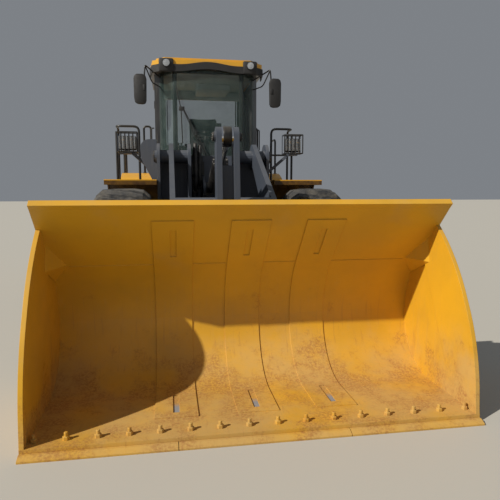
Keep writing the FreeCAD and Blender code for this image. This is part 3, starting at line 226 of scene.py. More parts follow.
def painted(name, paint, gloss, dustiness, chips, streaks, below=None, lip=None):
    # The coat in one colour; faces that look down take the colour below, and so do those that look ahead
    # under the height of a lip. On the fenders that colour is a dark painted shade; on the roof it makes the
    # underside black.
    w, place, material = new_look(name)
    group = coated(w, paint, (0.10, 0.075, 0.06, 1), gloss, dustiness, chips, streaks)
    tone = group["Color"]
    if below:
        facing = w.add("ShaderNodeTexCoord").outputs["Normal"]
        facing = w.add("ShaderNodeSeparateXYZ", Vector=facing).outputs
        # Faces that look down: the roof's black underside, and on the fenders a painted shade.
        underside_and_shade = w.span(facing["Z"], -0.2, -0.6)
        if lip:
            height = w.add("ShaderNodeSeparateXYZ", Vector=place).outputs["Z"]
            ahead = w.times(w.span(facing["Y"], -0.4, -0.8), w.span(height, lip + 0.004, lip - 0.004))
            underside_and_shade = w.maths("MAXIMUM", underside_and_shade, ahead)
        patchy = w.span(w.noise(place, 11, 5, 0.65), 0.25, 0.7, 0.82, 1.0)
        # The colour below laid over the coat; on the fenders it is painted shade.
        tone = w.blend(w.times(underside_and_shade, patchy), tone, below)
    w.surface(tone, group["Roughness"], group["Height"], 0.35, 0.002, soft=0.004)
    return material


yellow_paint = (0.78, 0.385, 0.012, 1)
yellow = painted("machine_yellow", yellow_paint, gloss=0.3, dustiness=0.13, chips=0.25, streaks=0.08)
roof_yellow = painted("roof_yellow", (0.78, 0.40, 0.03, 1), gloss=0.3, dustiness=0.22, chips=0.1,
                      streaks=0.05, below=(0.010, 0.010, 0.011, 1))
# The fenders' undersides and the front fenders' faces under their lip take a dark brown painted shade.
fender_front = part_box("front_fenders")[0].y + 0.01
fender_lip = max(v.co.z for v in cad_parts["front_fenders"].data.vertices if v.co.y < fender_front)
fender_yellow = painted("fender_yellow", yellow_paint, gloss=0.3, dustiness=0.13, chips=0.25, streaks=0.1,
                        below=(0.055, 0.024, 0.006, 1), lip=fender_lip - 0.012)
frame_grey = painted("frame_grey", (0.066, 0.080, 0.108, 1), gloss=0.42, dustiness=0.16, chips=0.2,
                     streaks=0.08)
arm_grey = painted("boom_grey", (0.060, 0.073, 0.098, 1), gloss=0.36, dustiness=0.10, chips=0.25,
                   streaks=0.05)
cab_black = painted("cab_black", (0.008, 0.008, 0.009, 1), gloss=0.35, dustiness=0.16, chips=0.05,
                    streaks=0.12)
cast_grey = painted("castings", (0.045, 0.05, 0.055, 1), gloss=0.6, dustiness=0.5, chips=0.15, streaks=0.3)


def dress(material, *node_names):
    # Gives CAD nodes their finish.
    for node_name in node_names:
        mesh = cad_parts[node_name].data
        mesh.materials.clear()
        mesh.materials.append(material)


dress(yellow, "hood", "counterweight", "side_boxes")
dress(fender_yellow, "rear_fenders", "front_fenders")
dress(roof_yellow, "cab_roof")
dress(frame_grey, "tower_side_housing", "rear_chassis", "front_frame", "rear_axle", "front_axle",
      "front_drive_shaft", "headlamp_brackets")
dress(arm_grey, "boom", "rocker", "bucket_link")
dress(cab_black, "cab_floor", "cab_front", "cab_sides", "cab_rear", "cab_door_left", "cab_door_right",
      "steps", "handrails", "exhaust_stack", "pilot_valve_block", "hood_rear_grille", "lift_cylinder_barrels",
      "tilt_cylinder_barrel", "steering_cylinder_barrel_left", "steering_cylinder_barrel_right")
dress(cast_grey, "gearbox", "engine_block")

# Bucket. Welded plate, painted yellow inside and out; its floor is scoured and rusty from the first loads,
# and rust runs down from the strips welded over its wall. In the cutting edge's slots the floor is light
# grey.
w, place, bucket_look = new_look("bucket_paint")
parts = w.add("ShaderNodeSeparateXYZ", Vector=place).outputs
group = coated(w, (0.68, 0.36, 0.017, 1), (0.12, 0.09, 0.07, 1), gloss=0.40, dustiness=0.10, chips=0.12,
               streaks=0.06)
low = w.span(parts["Z"], 0.55, 0.02)
blot = w.noise(place, 3.2, 8, 0.72)
grit = w.noise(place, 55, 6, 0.75)
rust_share = w.times(w.span(w.maths("ADD", blot, w.times(low, 0.14)), 0.56, 0.72), w.span(grit, 0.38, 0.62),
                     w.span(parts["Z"], 1.25, 0.3))
runs = w.times(w.span(w.noise(place, 4, 6, 0.65, (9, 2, 0.5)), 0.56, 0.70), w.span(parts["Z"], 1.0, 0.35))
rust_colour = w.blend(grit, (0.16, 0.045, 0.015, 1), (0.36, 0.13, 0.035, 1))
mud = w.span(w.maths("ADD", w.noise(place, 1.4, 6, 0.6), w.times(low, 0.25)), 0.55, 0.85)
slot_half, strip_mid, slot_front, slot_grey_end, slot_top = 0.0222, 0.566, -3.622, -3.500, 0.057
away = w.maths("ABSOLUTE", parts["X"])
away = w.maths("MINIMUM", away, w.maths("ABSOLUTE", w.maths("SUBTRACT", away, strip_mid)))
# Light grey on the floor of each slot, fading out towards its back end.
in_slot = w.times(w.span(away, slot_half, slot_half - 0.002),
                  w.span(parts["Z"], slot_top + 0.0005, slot_top - 0.0005),
                  w.span(parts["Y"], slot_front - 0.004, slot_front),
                  w.span(parts["Y"], slot_grey_end + 0.05, slot_grey_end - 0.04))
tone = group["Color"]
for share, colour in ((w.times(mud, 0.55), (0.44, 0.30, 0.13, 1)),
                      (w.times(runs, 0.30), (0.34, 0.15, 0.045, 1)), (w.times(rust_share, 0.62), rust_colour),
                      (in_slot, w.blend(grit, (0.20, 0.205, 0.22, 1), (0.31, 0.315, 0.33, 1)))):
    tone = w.blend(share, tone, colour)
rough = w.maths("ADD", group["Roughness"], w.times(w.maths("MAXIMUM", rust_share, mud), 0.4), clamp=True)
height = w.maths("ADD", group["Height"], w.times(rust_share, grit, 0.5))
w.surface(tone, rough, height, 0.4, 0.003, soft=0.004)
dress(bucket_look, "bucket", "bucket_cutting_edge")

# Cylinder rods and wear steel. Rods are ground and chromed; the wheels' nuts, pins and bolts are zinc
# plated steel that has dulled.
w, place, chrome = new_look("chromed_rod")
tone = w.blend(w.span(w.noise(place, 12, 4), 0.4, 0.7), (0.62, 0.63, 0.66, 1), (0.45, 0.45, 0.46, 1))
w.surface(tone, w.uneven(place, 30, 5, 0.08, 0.26), Metallic=1.0)
dress(chrome, "lift_cylinder_rods", "tilt_cylinder_rod", "steering_cylinder_rod_left",
      "steering_cylinder_rod_right")
w, place, plated = new_look("plated_bolts")
tone = w.blend(w.span(w.noise(place, 40, 4), 0.4, 0.65), (0.30, 0.29, 0.27, 1), (0.13, 0.075, 0.04, 1))
w.surface(tone, w.uneven(place, 60, 4, 0.35, 0.7), Metallic=0.8)

# Glass. Green tinted safety glass with a film of dust, clear enough to show the seat and the wheel;
# its colour is partly that tint and dust, partly lightened as a painted reflection of a bright sky.
# The doors' panes are the CAD's own.
w, place, glass = new_look("tinted_glass")
film = w.span(w.noise(place, 2.2, 5, 0.6), 0.35, 0.8)
# Lighter where the dust film lies; the whole colour is also lightened as a painted reflection.
w.surface(w.blend(film, (0.070, 0.118, 0.108, 1), (0.15, 0.20, 0.19, 1)), w.times(film, 0.08),
          Alpha=w.span(film, 0.0, 1.0, 0.15, 0.25), IOR=1.45)
dress(glass, "cab_door_glass_left", "cab_door_glass_right")

# Plastics and lamps. Moulded black plastic has a fine leather grain; a lamp's clear lens has upright flutes
# and stands over a bright bowl.
w, place, plastic = new_look("moulded_plastic")
grain = w.add("ShaderNodeTexVoronoi", Vector=place, Scale=380.0).outputs[0]
w.surface(w.blend(w.noise(place, 4, 4), (0.012, 0.012, 0.013, 1), (0.03, 0.029, 0.028, 1)),
          w.uneven(place, 14, 4, 0.5, 0.72), grain, 0.15)
w, place, lens = new_look("lamp_lens")
flutes = w.wave(place, 26.0, "X")
w.surface(w.blend(flutes, (0.60, 0.63, 0.66, 1), (0.46, 0.49, 0.52, 1)), w.uneven(place, 9, 3, 0.05, 0.16),
          flutes, 0.4, 0.003, Alpha=w.span(flutes, 0.0, 1.0, 0.42, 0.55))
dress(plastic, "dash_and_steering", "seat")

# Wheels. Earthmover tyres with deep bars that run from the middle out over the shoulder, in turn from each
# side, on pressed rims with a planet hub and two dozen nuts. The bars' blocks are dusty, the wells black.
w, place, rubber = new_look("tyre_rubber")
dusty = w.span(w.noise(place, 7, 7, 0.68), 0.38, 0.72)
w.surface(w.blend(w.times(dusty, 0.75), (0.014, 0.014, 0.015, 1), (0.16, 0.145, 0.12, 1)),
          w.span(dusty, 0.0, 1.0, 0.62, 0.9), w.noise(place, 130, 5, 0.7), 0.3, 0.003)


def set_copies(w, given, points, **turn):
    # Ends a tree: the piece is set on each point, realised and given its finish.
    copies = w.add("GeometryNodeInstanceOnPoints", Points=points, Instance=given["Piece"], **turn).outputs[0]
    solid = w.add("GeometryNodeRealizeInstances", Geometry=copies).outputs[0]
    finish = w.add("GeometryNodeSetMaterial", Geometry=solid, Material=given["Finish"])
    w.add("NodeGroupOutput", Copies=finish.outputs[0])


ring_tree, w, given = new_group("ring of pieces", "GeometryNodeTree", {"Copies": "Geometry"},
                                Piece="Geometry", Count="Int", Turn="Float", Finish="Material")
index = w.add("GeometryNodeInputIndex").outputs[0]
angle = w.maths("DIVIDE", w.times(w.maths("ADD", index, given["Turn"]), 2 * math.pi), given["Count"])
set_copies(w, given, w.add("GeometryNodePoints", Count=given["Count"]).outputs[0],
           Rotation=w.add("ShaderNodeCombineXYZ", X=angle).outputs[0])


def plain_mesh(piece):
    # The piece's mesh as its modifiers leave it.
    bpy.context.view_layer.update()
    return bpy.data.meshes.new_from_object(piece.evaluated_get(bpy.context.evaluated_depsgraph_get()))


def applied(piece):
    # The piece with its modifiers worked into its mesh.
    mesh, old = plain_mesh(piece), piece.data
    piece.modifiers.clear()
    piece.data = mesh
    bpy.data.meshes.remove(old)
    return piece


def repeat(piece, tree, **values):
    # The piece as the tree repeats it.
    modifier = piece.modifiers.new("repeat", "NODES")
    modifier.node_group = tree
    for item in tree.interface.items_tree:
        if item.item_type == "SOCKET" and item.in_out == "INPUT" and item.name in values:
            modifier[item.identifier] = values[item.name]
    return applied(piece)


def add_bevel(piece, width):
    # Rounds the piece's sharp edges.
    bevel = piece.modifiers.new("round", "BEVEL")
    bevel.width = width
    bevel.segments = 2
    bevel.limit_method = "ANGLE"


# A turned piece ends on this radius where its profile meets the axis.
tip = 0.0001


def turned_piece(name, profile, steps, material, edge=40, closed=True):
    # A profile of (x, radius) turned about the x axis.
    verts = []
    for k in range(steps):
        a = 2 * math.pi * k / steps
        verts += [(x, r * math.sin(a), r * math.cos(a)) for x, r in profile]
    n = len(profile)
    faces = []
    for k in range(steps):
        for i in range(n if closed else n - 1):
            j = (i + 1) % n
            faces.append((k * n + i, k * n + j, (k + 1) % steps * n + j, (k + 1) % steps * n + i))
    return mesh_piece(name, verts, faces, material, edge)


def placed(piece, place, turn=Matrix()):
    # The piece turned about the origin and moved to its place.
    piece.data.transform(Matrix.Translation(place) @ turn)
    return piece


def merged(name, pieces):
    # Several pieces' meshes as one piece.
    work = bmesh.new()
    looks = []
    for piece in pieces:
        before = len(work.faces)
        work.from_mesh(piece.data)
        work.faces.ensure_lookup_table()
        slots = list(piece.data.materials)
        for face in work.faces[before:]:
            look = slots[min(face.material_index, len(slots) - 1)]
            if look not in looks:
                looks.append(look)
            face.material_index = looks.index(look)
    mesh = bpy.data.meshes.new(name)
    work.to_mesh(mesh)
    work.free()
    for look in looks:
        mesh.materials.append(look)
    for piece in pieces:
        bpy.data.objects.remove(piece)
    return added(name, mesh)


def bolt_ring(profile, radius, count, turn=0.0):
    # Hexagon heads on a circle round the x axis.
    head = placed(turned_piece("bolt_head", profile, 6, plated, 20), (0, 0, radius))
    return repeat(head, ring_tree, Count=count, Turn=turn, Finish=plated)


bar_count = 22
carcass = [(-0.205, 0.335), (-0.262, 0.372), (-0.285, 0.44), (-0.292, 0.55), (-0.284, 0.62), (-0.272, 0.655),
           (-0.258, 0.672), (-0.248, 0.715), (-0.215, 0.748), (-0.12, 0.757), (0.0, 0.760)]
carcass = carcass + [(-x, r) for x, r in reversed(carcass[:-1])] + [(0.19, 0.33), (-0.19, 0.33)]
rim_profile = [(0.185, 0.0), (0.185, 0.150), (0.168, 0.172), (0.05, 0.180), (0.045, 0.236), (0.06, 0.262),
               (0.10, 0.290), (0.20, 0.298), (0.243, 0.3), (0.252, 0.318), (0.262, 0.345), (0.252, 0.352),
               (0.243, 0.325), (0.20, 0.329), (-0.24, 0.329), (-0.252, 0.35), (-0.262, 0.343), (-0.246, 0.30),
               (-0.02, 0.29), (-0.005, 0.24), (0.0, 0.19), (-0.01, 0.0)]


def bar_block(side):
    # One bar: from just past the middle, bent once, out over the shoulder and down the side. Each row gives
    # the place across, the lean in bar pitches, and the radii of the bar's root and crown.
    pitch = 2 * math.pi / bar_count
    half = pitch * 0.235
    rows = ((-0.035, 0.30, 0.755, 0.799), (0.12, 0.06, 0.755, 0.799), (0.225, -0.16, 0.735, 0.788),
            (0.297, -0.22, 0.66, 0.725))
    verts = []
    for x, lean, root, crown in rows:
        for r, grow in ((root, 1.25), (crown, 0.86)):
            for s in (-1, 1):
                a = lean * pitch * side + s * half * grow
                verts.append((side * x, r * math.sin(a), r * math.cos(a)))
    verts += [(side * 0.286, verts[-4 + i][1] * 0.93, verts[-4 + i][2] * 0.93) for i in (0, 1)]
    faces = []
    for b in (0, 4, 8):
        faces += [(b, b + 4, b + 6, b + 2), (b + 1, b + 3, b + 7, b + 5), (b + 2, b + 6, b + 7, b + 3)]
    faces += [(0, 2, 3, 1), (12, 14, 15, 13), (12, 13, 17, 16)]
    piece = mesh_piece("bar", verts, faces, rubber)
    add_bevel(piece, 0.006)
    return piece


for body in ("wheel_front_left", "wheel_front_right", "wheel_rear_left", "wheel_rear_right"):
    low_corner, high_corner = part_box(body.replace("wheel", "tyre"))
    centre = (low_corner + high_corner) / 2
    rings = [repeat(bar_block(half), ring_tree, Count=bar_count, Turn=turn, Finish=rubber)
             for half, turn in ((1, 0.0), (-1, 0.5))]
    tyre = merged("tyre_" + body, [turned_piece("carcass", carcass, 132, rubber, 50)] + rings)
    placed(tyre, centre)
    nuts = bolt_ring([(0.048, 0.0), (0.07, 0.0), (0.07, 0.013), (0.075, 0.006), (0.075, tip)], 0.208, 24)
    cap_bolts = bolt_ring([(0.18, 0.0), (0.198, 0.0), (0.198, 0.011), (0.18, 0.011)], 0.118, 8, 0.5)
    disc = turned_piece("disc", rim_profile, 96, yellow, 35, closed=False)
    rim = merged("rim_" + body, [disc, nuts, cap_bolts])
    placed(rim, centre, Matrix.Rotation(0.0 if body.endswith("left") else math.pi, 4, "Z"))
    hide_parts(body.replace("wheel", "tyre"))
    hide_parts(body.replace("wheel", "rim"))
    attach(tyre, body)
    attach(rim, body)

# Bolts of the cutting edge. Plough bolts stand through the edge's three plates, their nuts on the floor of
# the bucket, painted over and rusty.
row_tree, w, given = new_group("row of pieces", "GeometryNodeTree", {"Copies": "Geometry"},
                               Piece="Geometry", Count="Int", Step="Vector", Finish="Material")
set_copies(w, given, w.add("GeometryNodeMeshLine", Count=given["Count"], Offset=given["Step"]).outputs[0])
upright = Matrix.Rotation(-math.pi / 2, 4, "Y")
edge_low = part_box("bucket_cutting_edge")[0]
bolt_first, bolt_count = -1.438, 16
nut_line = [(0.0, tip), (0.0, 0.0225), (0.021, 0.0225), (0.024, 0.020), (0.024, tip)]
stud_line = [(0.023, tip), (0.023, 0.0125), (0.047, 0.0125), (0.050, 0.0105), (0.050, tip)]
bolt = merged("edge_bolt", [turned_piece("nut", nut_line, 6, bucket_look, 20, closed=False),
                            turned_piece("stud", stud_line, 20, bucket_look, 30, closed=False)])
placed(bolt, (bolt_first, edge_low.y + 0.150, 0.054), upright)
bolt_step = -2 * bolt_first / (bolt_count - 1)
edge_bolts = repeat(bolt, row_tree, Count=bolt_count, Step=(bolt_step, 0.0, 0.0), Finish=bucket_look)
edge_bolts.name = "edge_bolts"
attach(edge_bolts, "bucket")


# Weld of the spill guard. The guard is butted on the bucket's wall with a bead along its foot, ground off
# where the wear strips lie over it.
def bent(points, corner, steps=5):
    # The points of a line whose inner corners are rounded.
    out = [Vector(points[0])]
    for a, b, c in zip(points, points[1:], points[2:]):
        a, b, c = Vector(a), Vector(b), Vector(c)
        into, away = (a - b), (c - b)
        reach = min(corner, into.length * 0.45, away.length * 0.45)
        p0, p2 = b + into.normalized() * reach, b + away.normalized() * reach
        for k in range(steps + 1):
            t = k / steps
            out.append(p0.lerp(b, t).lerp(b.lerp(p2, t), t))
    return out + [Vector(points[-1])]


def swept(name, points, radius, material, corner=0.05, sides=12, closed=False):
    # Round bar along a line with rounded corners, as a plain mesh.
    line = bpy.data.curves.new(name, "CURVE")
    line.dimensions = "3D"
    path = bent(points, corner)
    spline = line.splines.new("POLY")
    spline.points.add(len(path) - 1)
    for point, place in zip(spline.points, path):
        point.co = (*place, 1)
    spline.use_cyclic_u = closed
    line.bevel_depth = radius
    line.bevel_resolution = max(1, sides // 4 - 1)
    line.use_fill_caps = not closed
    holder = added(name, line)
    mesh = plain_mesh(holder)
    bpy.data.objects.remove(holder)
    mesh.materials.clear()
    mesh.materials.append(material)
    shade(mesh, 50)
    return added(name, mesh)


bead_y, bead_z, bead_r = edge_low.y + 0.980 - 0.0015, 1.010, 0.0045
beads = [swept("bead", [(k * near, bead_y, bead_z), (k * far, bead_y, bead_z)], bead_r, bucket_look, sides=8)
         for near, far in ((0.152, 0.411), (0.721, 1.345)) for k in (-1, 1)]
guard_weld = merged("spill_guard_weld", beads)
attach(guard_weld, "bucket")


# Cab trim. Under the yellow roof runs a black moulded visor, arched over the windscreen, with a pod at each
# corner for a round work lamp; the aerial's foot stands on the roof.
def finished(piece, bevel=0.0):
    # The piece with its modifiers and a bevel worked in, and smooth faces.
    if bevel:
        add_bevel(piece, bevel)
    shade(applied(piece).data, 35)
    return piece


def block(name, one, other, material, bevel=0.004):
    # A block between two corners, with rounded edges.
    (x0, x1), (y0, y1), (z0, z1) = (sorted(pair) for pair in zip(one, other))
    verts = [(x, y, z) for x in (x0, x1) for y in (y0, y1) for z in (z0, z1)]
    faces = [(0, 1, 3, 2), (4, 6, 7, 5), (0, 4, 5, 1), (2, 3, 7, 6), (0, 2, 6, 4), (1, 5, 7, 3)]
    return finished(mesh_piece(name, verts, faces, material), bevel)


def slab(name, outline, axis, near, far, material, bevel=0.004):
    # A flat outline given in the two other axes, as thick as near to far along one axis.
    n = len(outline)
    verts = [((w, u, v), (u, w, v), (u, v, w))[axis] for w in (near, far) for u, v in outline]
    faces = [tuple(range(n)), tuple(range(2 * n - 1, n - 1, -1))]
    faces += [(i, (i + 1) % n, n + (i + 1) % n, n + i) for i in range(n)]
    return finished(mesh_piece(name, verts, faces, material), bevel)


def mirrored(name, pieces):
    # The pieces and their copies on the machine's other side, as one piece.
    left = merged("left_hand", pieces)
    right = added("right_hand", left.data.copy())
    right.data.transform(Matrix.Scale(-1, 4, (1, 0, 0)))
    right.data.flip_normals()
    return merged(name, [left, right])


roof_low, roof_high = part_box("cab_roof")
front_y = roof_low.y
visor_line = [(-0.83, front_y + 0.44), (-0.797, front_y + 0.12), (-0.667, front_y), (0.667, front_y),
              (0.797, front_y + 0.12), (0.83, front_y + 0.44)]
samples = []
for (x0, y0), (x1, y1) in zip(visor_line, visor_line[1:]):
    steps = 40 if x0 * x1 < 0 else 8
    samples += [(x0 + (x1 - x0) * k / steps, y0 + (y1 - y0) * k / steps) for k in range(steps)]
samples.append(visor_line[-1])


def arch(far, reach):
    # One in the middle, down to nought at its reach.
    return 0.5 + 0.5 * math.cos(math.pi * min(far, reach) / reach)


verts, faces = [], []
for x, y in samples:
    far = abs(x)
    top, low = 3.352 + 0.045 * arch(far, 0.42), 3.240 + 0.046 * arch(far, 0.50)
    out = Vector((0.0, -1.0, 0.0))
    if far > 0.81:
        out = Vector((math.copysign(1.0, x), -0.05, 0.0))
    elif far >= 0.66:
        out = Vector((math.copysign(0.68, x), -0.73, 0.0))
    out = out.normalized() * 0.016
    for z, push in ((low, -0.2), (top, -0.2), (top - 0.008, 1.0), (low + 0.006, 1.0)):
        verts.append((x + out.x * push, y + out.y * push, z))
for k in range(0, len(verts) - 4, 4):
    faces += [(k + i, k + (i + 1) % 4, k + 4 + (i + 1) % 4, k + 4 + i) for i in range(4)]
faces += [(3, 2, 1, 0), tuple(range(len(verts) - 4, len(verts)))]
visor = mesh_piece("cab_visor", verts, faces, plastic, 40)
pod = block("lamp_pod", (0.497, front_y - 0.028, 3.243), (0.703, front_y + 0.05, 3.425), plastic, 0.022)
visor = merged("cab_visor", [visor, mirrored("lamp_pods", [pod])])
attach(visor, "rear_frame")
aerial = turned_piece("roof_aerial", [(0.0, tip), (0.0, 0.024), (0.012, 0.02), (0.022, 0.009), (0.028, tip)],
                      16, plastic)
placed(aerial, (-0.052, front_y + 0.16, roof_high.z - 0.028), upright)
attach(aerial, "rear_frame")

# Roof lamps. Round work lamps: a black cast bowl, a bright reflector and a clear lens in a rubber ring,
# two at the front in the pods and two at the back of the roof.
w, place, reflector = new_look("lamp_reflector")
w.surface(w.blend(w.noise(place, 40, 3), (0.80, 0.82, 0.84, 1), (0.62, 0.64, 0.66, 1)),
          w.uneven(place, 60, 2, 0.08, 0.2), Metallic=1.0)
lamp_low, lamp_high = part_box("roof_work_lamps")
lamp_z = (lamp_low.z + lamp_high.z) / 2
lamp_r = 0.055
lamp_lines = ((plastic, False, ((0, 0), (0, 0.62), (0.35, 0.9), (0.6, 1), (1, 1), (1, 0.90), (0.86, 0.88),
                                (0.86, 0))),
              (reflector, False, ((0.87, 0.86), (0.88, 0.55), (0.90, 0.22), (0.96, 0))),
              (lens, True, ((0.93, 0.895), (1, 0.6), (1.02, 0), (0.96, 0), (0.93, 0.6))))


def round_lamp(x, y, face):
    # A round lamp that looks along face times y, its back on the plane y; its lines are in shares of its
    # radius.
    shells = []
    for look, closed, line in lamp_lines:
        line = [(u * lamp_r, max(v * lamp_r, tip)) for u, v in line]
        shells.append(turned_piece("lamp_shell", line, 32, look, closed=closed))
    return placed(merged("lamp", shells), (x, y, lamp_z), Matrix.Rotation(math.pi / 2 * face, 4, "Z"))


rear_x = lamp_high.x - lamp_r
roof_lamps = merged("round_roof_lamps", [round_lamp(x, front_y - 0.001, -1) for x in (-0.60, 0.60)]
                    + [round_lamp(x, roof_high.y + 0.001, 1) for x in (-rear_x, rear_x)])
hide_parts("roof_work_lamps")
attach(roof_lamps, "rear_frame")

# Glazing. One bonded windscreen that bends round both corner posts, flat side windows and a rear window in
# rubber beading; the moulded headliner shows through it under the roof.
shell_low, shell_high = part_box("cab_front")
screen_z0, screen_z1 = 1.952, shell_high.z - 0.006


def screen_path(gap):
    # The windscreen's line in plan, so far before the posts.
    along = Vector((0.605, -0.796, 0))
    foot = Vector((-0.690, shell_low.y + 0.250, 0)) + Vector((-0.796, -0.605, 0)) * gap
    knee = foot + along * ((shell_low.y - gap - foot.y) / along.y)
    start = foot - along * 0.02
    return bent([start, knee, (-knee.x, knee.y, 0), (-start.x, start.y, 0)], 0.03, 6)


inner, outer = screen_path(0.006), screen_path(0.011)
count = len(inner)
verts = [(p.x, p.y, z) for z in (screen_z0, screen_z1) for path in (inner, outer) for p in path]
faces = []
for a in range(count - 1):
    b, c, d = count + a, 2 * count + a, 3 * count + a
    faces += [(a, c, c + 1, a + 1), (b, b + 1, d + 1, d), (a, a + 1, b + 1, b), (c, d, d + 1, c + 1)]
faces += [(0, count, 3 * count, 2 * count), (count - 1, 3 * count - 1, 4 * count - 1, 2 * count - 1)]
rear_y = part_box("cab_rear")[1].y
glass_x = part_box("cab_glass")[1].x
panes = [mesh_piece("windscreen", verts, faces, glass, 30),
         block("rear_pane", (-0.619, rear_y - 0.024, 2.151), (0.619, rear_y - 0.017, 3.179), glass, 0.001)]
panes += [block("side_pane", (k * (glass_x - 0.008), 1.716, 2.151), (k * glass_x, 1.954, 3.149), glass, 0.001)
          for k in (-1, 1)]
glazing = merged("cab_glazing", panes)
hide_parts("cab_glass")
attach(glazing, "rear_frame")
corners = [(x, rear_y + 0.002, z) for x, z in ((-0.60, 2.17), (0.60, 2.17), (0.60, 3.16), (-0.60, 3.16))]
beading = swept("window_beading", corners, 0.010, plastic, 0.0001, closed=True)
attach(beading, "rear_frame")
w, place, lining_look = new_look("grey_headliner")
w.surface(w.blend(w.noise(place, 6, 5), (0.34, 0.39, 0.40, 1), (0.42, 0.46, 0.47, 1)),
          w.uneven(place, 90, 3, 0.75, 0.95), w.noise(place, 260, 3))
lining_line = [(-0.70, rear_y - 0.06), (-0.70, shell_low.y + 0.30), (-0.485, shell_low.y + 0.04),
               (0.485, shell_low.y + 0.04), (0.70, shell_low.y + 0.30), (0.70, rear_y - 0.06)]
lining = merged("cab_headliner", [
    slab("headliner", lining_line, 2, 3.262, 3.37, lining_look, 0.02),
    block("ceiling_console", (-0.12, rear_y - 0.75, 3.175), (0.42, rear_y - 0.08, 3.30), lining_look, 0.03),
    block("rear_header", (-0.66, rear_y - 0.10, 3.12), (0.66, rear_y - 0.05, 3.30), lining_look, 0.02)])
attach(lining, "rear_frame")

# Wiper. One blade on two thin parallel arms from a spindle under the windscreen, parked left of the middle.
# The arms are black painted steel rod, the blade is rubber in a moulded holder.
screen_y = shell_low.y - 0.022
spindle = Vector((-0.05, screen_y - 0.012, 2.02))
knee = Vector((-0.40, screen_y - 0.018, 2.74))
blade = [(-0.47, screen_y - 0.010, 3.05), (-0.40, screen_y - 0.014, 2.74), (-0.385, screen_y - 0.010, 2.25)]
wiper = merged("windscreen_wiper", [
    swept("arm_a", [spindle, knee + Vector((0.02, 0, 0.012))], 0.007, plastic),
    swept("arm_b", [spindle + Vector((0.05, 0, 0.01)), knee + Vector((0.045, 0, -0.02))], 0.006, plastic),
    swept("blade", blade, 0.008, plastic),
    block("knee", knee - Vector((0.03, 0.004, 0.03)), knee + Vector((0.05, 0.01, 0.03)), plastic),
    block("spindle", spindle - Vector((0.03, 0.004, 0.03)), spindle + Vector((0.08, 0.012, 0.03)), plastic)])
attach(wiper, "rear_frame")

# Door handles. On the front edge of each door a fixed grip of bent tube and, below it, a paddle in a moulded
# cup that opens the lock.
for body, k in (("door_left", 1), ("door_right", -1)):
    door_low, door_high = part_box("cab_" + body)
    grip_x, grip_y = max(abs(door_low.x), abs(door_high.x)) - 0.010, door_low.y + 0.032
    corners = ((0, 2.20), (0.042, 2.20), (0.042, 2.52), (0, 2.52))
    handle = merged("handle_" + body, [
        swept("grip", [(k * (grip_x + out), grip_y, z) for out, z in corners], 0.009, plastic, 0.03),
        block("cup", (k * (grip_x - 0.002), grip_y - 0.024, 2.02),
              (k * (grip_x + 0.018), grip_y + 0.026, 2.12), plastic, 0.008),
        block("paddle", (k * (grip_x + 0.016), grip_y - 0.014, 2.035),
              (k * (grip_x + 0.024), grip_y + 0.016, 2.105), cab_black)])
    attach(handle, body)

# Pilot levers. A console of moulded plastic on a steel post stands at the seat's right, with two short levers
# that have ball knobs, one for the boom and one for the bucket.
console = [block("console", (-0.455, 1.33, 2.10), (-0.355, 1.66, 2.20), plastic, 0.018),
           block("console_post", (-0.435, 1.46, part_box("seat")[0].z), (-0.375, 1.54, 2.11), cab_black)]
knob_line = [(-0.021, tip), (-0.018, 0.010), (-0.008, 0.018), (0.006, 0.019), (0.017, 0.012), (0.021, tip)]
for x in (-0.428, -0.382):
    knob = turned_piece("knob", knob_line, 20, plastic, 80, closed=False)
    console += [swept("lever", [(x, 1.40, 2.195), (x, 1.385, 2.27), (x, 1.365, 2.31)], 0.006, plated, 0.03),
                placed(knob, (x, 1.362, 2.322), upright)]
console = merged("pilot_levers", console)
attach(console, "rear_frame")

# Hood fittings. Each side of the hood is held by two turn latches on bolted plates; a narrow red and white
# lamp in a rubber frame is fixed to its back at both sides of the grille.
w, place, red_lens = new_look("tail_lamp_red")
prisms = w.add("ShaderNodeTexVoronoi", Vector=place, Scale=150.0).outputs[0]
w.surface(w.blend(w.noise(place, 8, 3), (0.42, 0.012, 0.010, 1), (0.26, 0.010, 0.008, 1)),
          w.uneven(place, 20, 3, 0.12, 0.3), prisms)
hood_low, hood_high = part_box("hood")
hood_x, hood_y = hood_high.x, hood_high.y
fittings = []
for y in (hood_low.y + 0.30, hood_y - 0.30):
    fittings += [block("latch_plate", (hood_x - 0.002, y - 0.05, 1.440), (hood_x + 0.004, y + 0.05, 1.500),
                       cab_black, 0.0015),
                 block("latch_turn", (hood_x + 0.004, y - 0.012, 1.448), (hood_x + 0.022, y + 0.012, 1.492),
                       plastic, 0.005)]
latches = mirrored("hood_latches", fittings)
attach(latches, "rear_frame")
tails = mirrored("tail_lamps", [
    block("tail_frame", (0.570, hood_y - 0.002, 1.90), (0.630, hood_y + 0.014, 2.09), plastic, 0.006),
    block("tail_red", (0.576, hood_y + 0.010, 1.956), (0.624, hood_y + 0.024, 2.084), red_lens, 0.005),
    block("tail_white", (0.576, hood_y + 0.010, 1.906), (0.624, hood_y + 0.022, 1.952), lens, 0.005)])
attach(tails, "rear_frame")

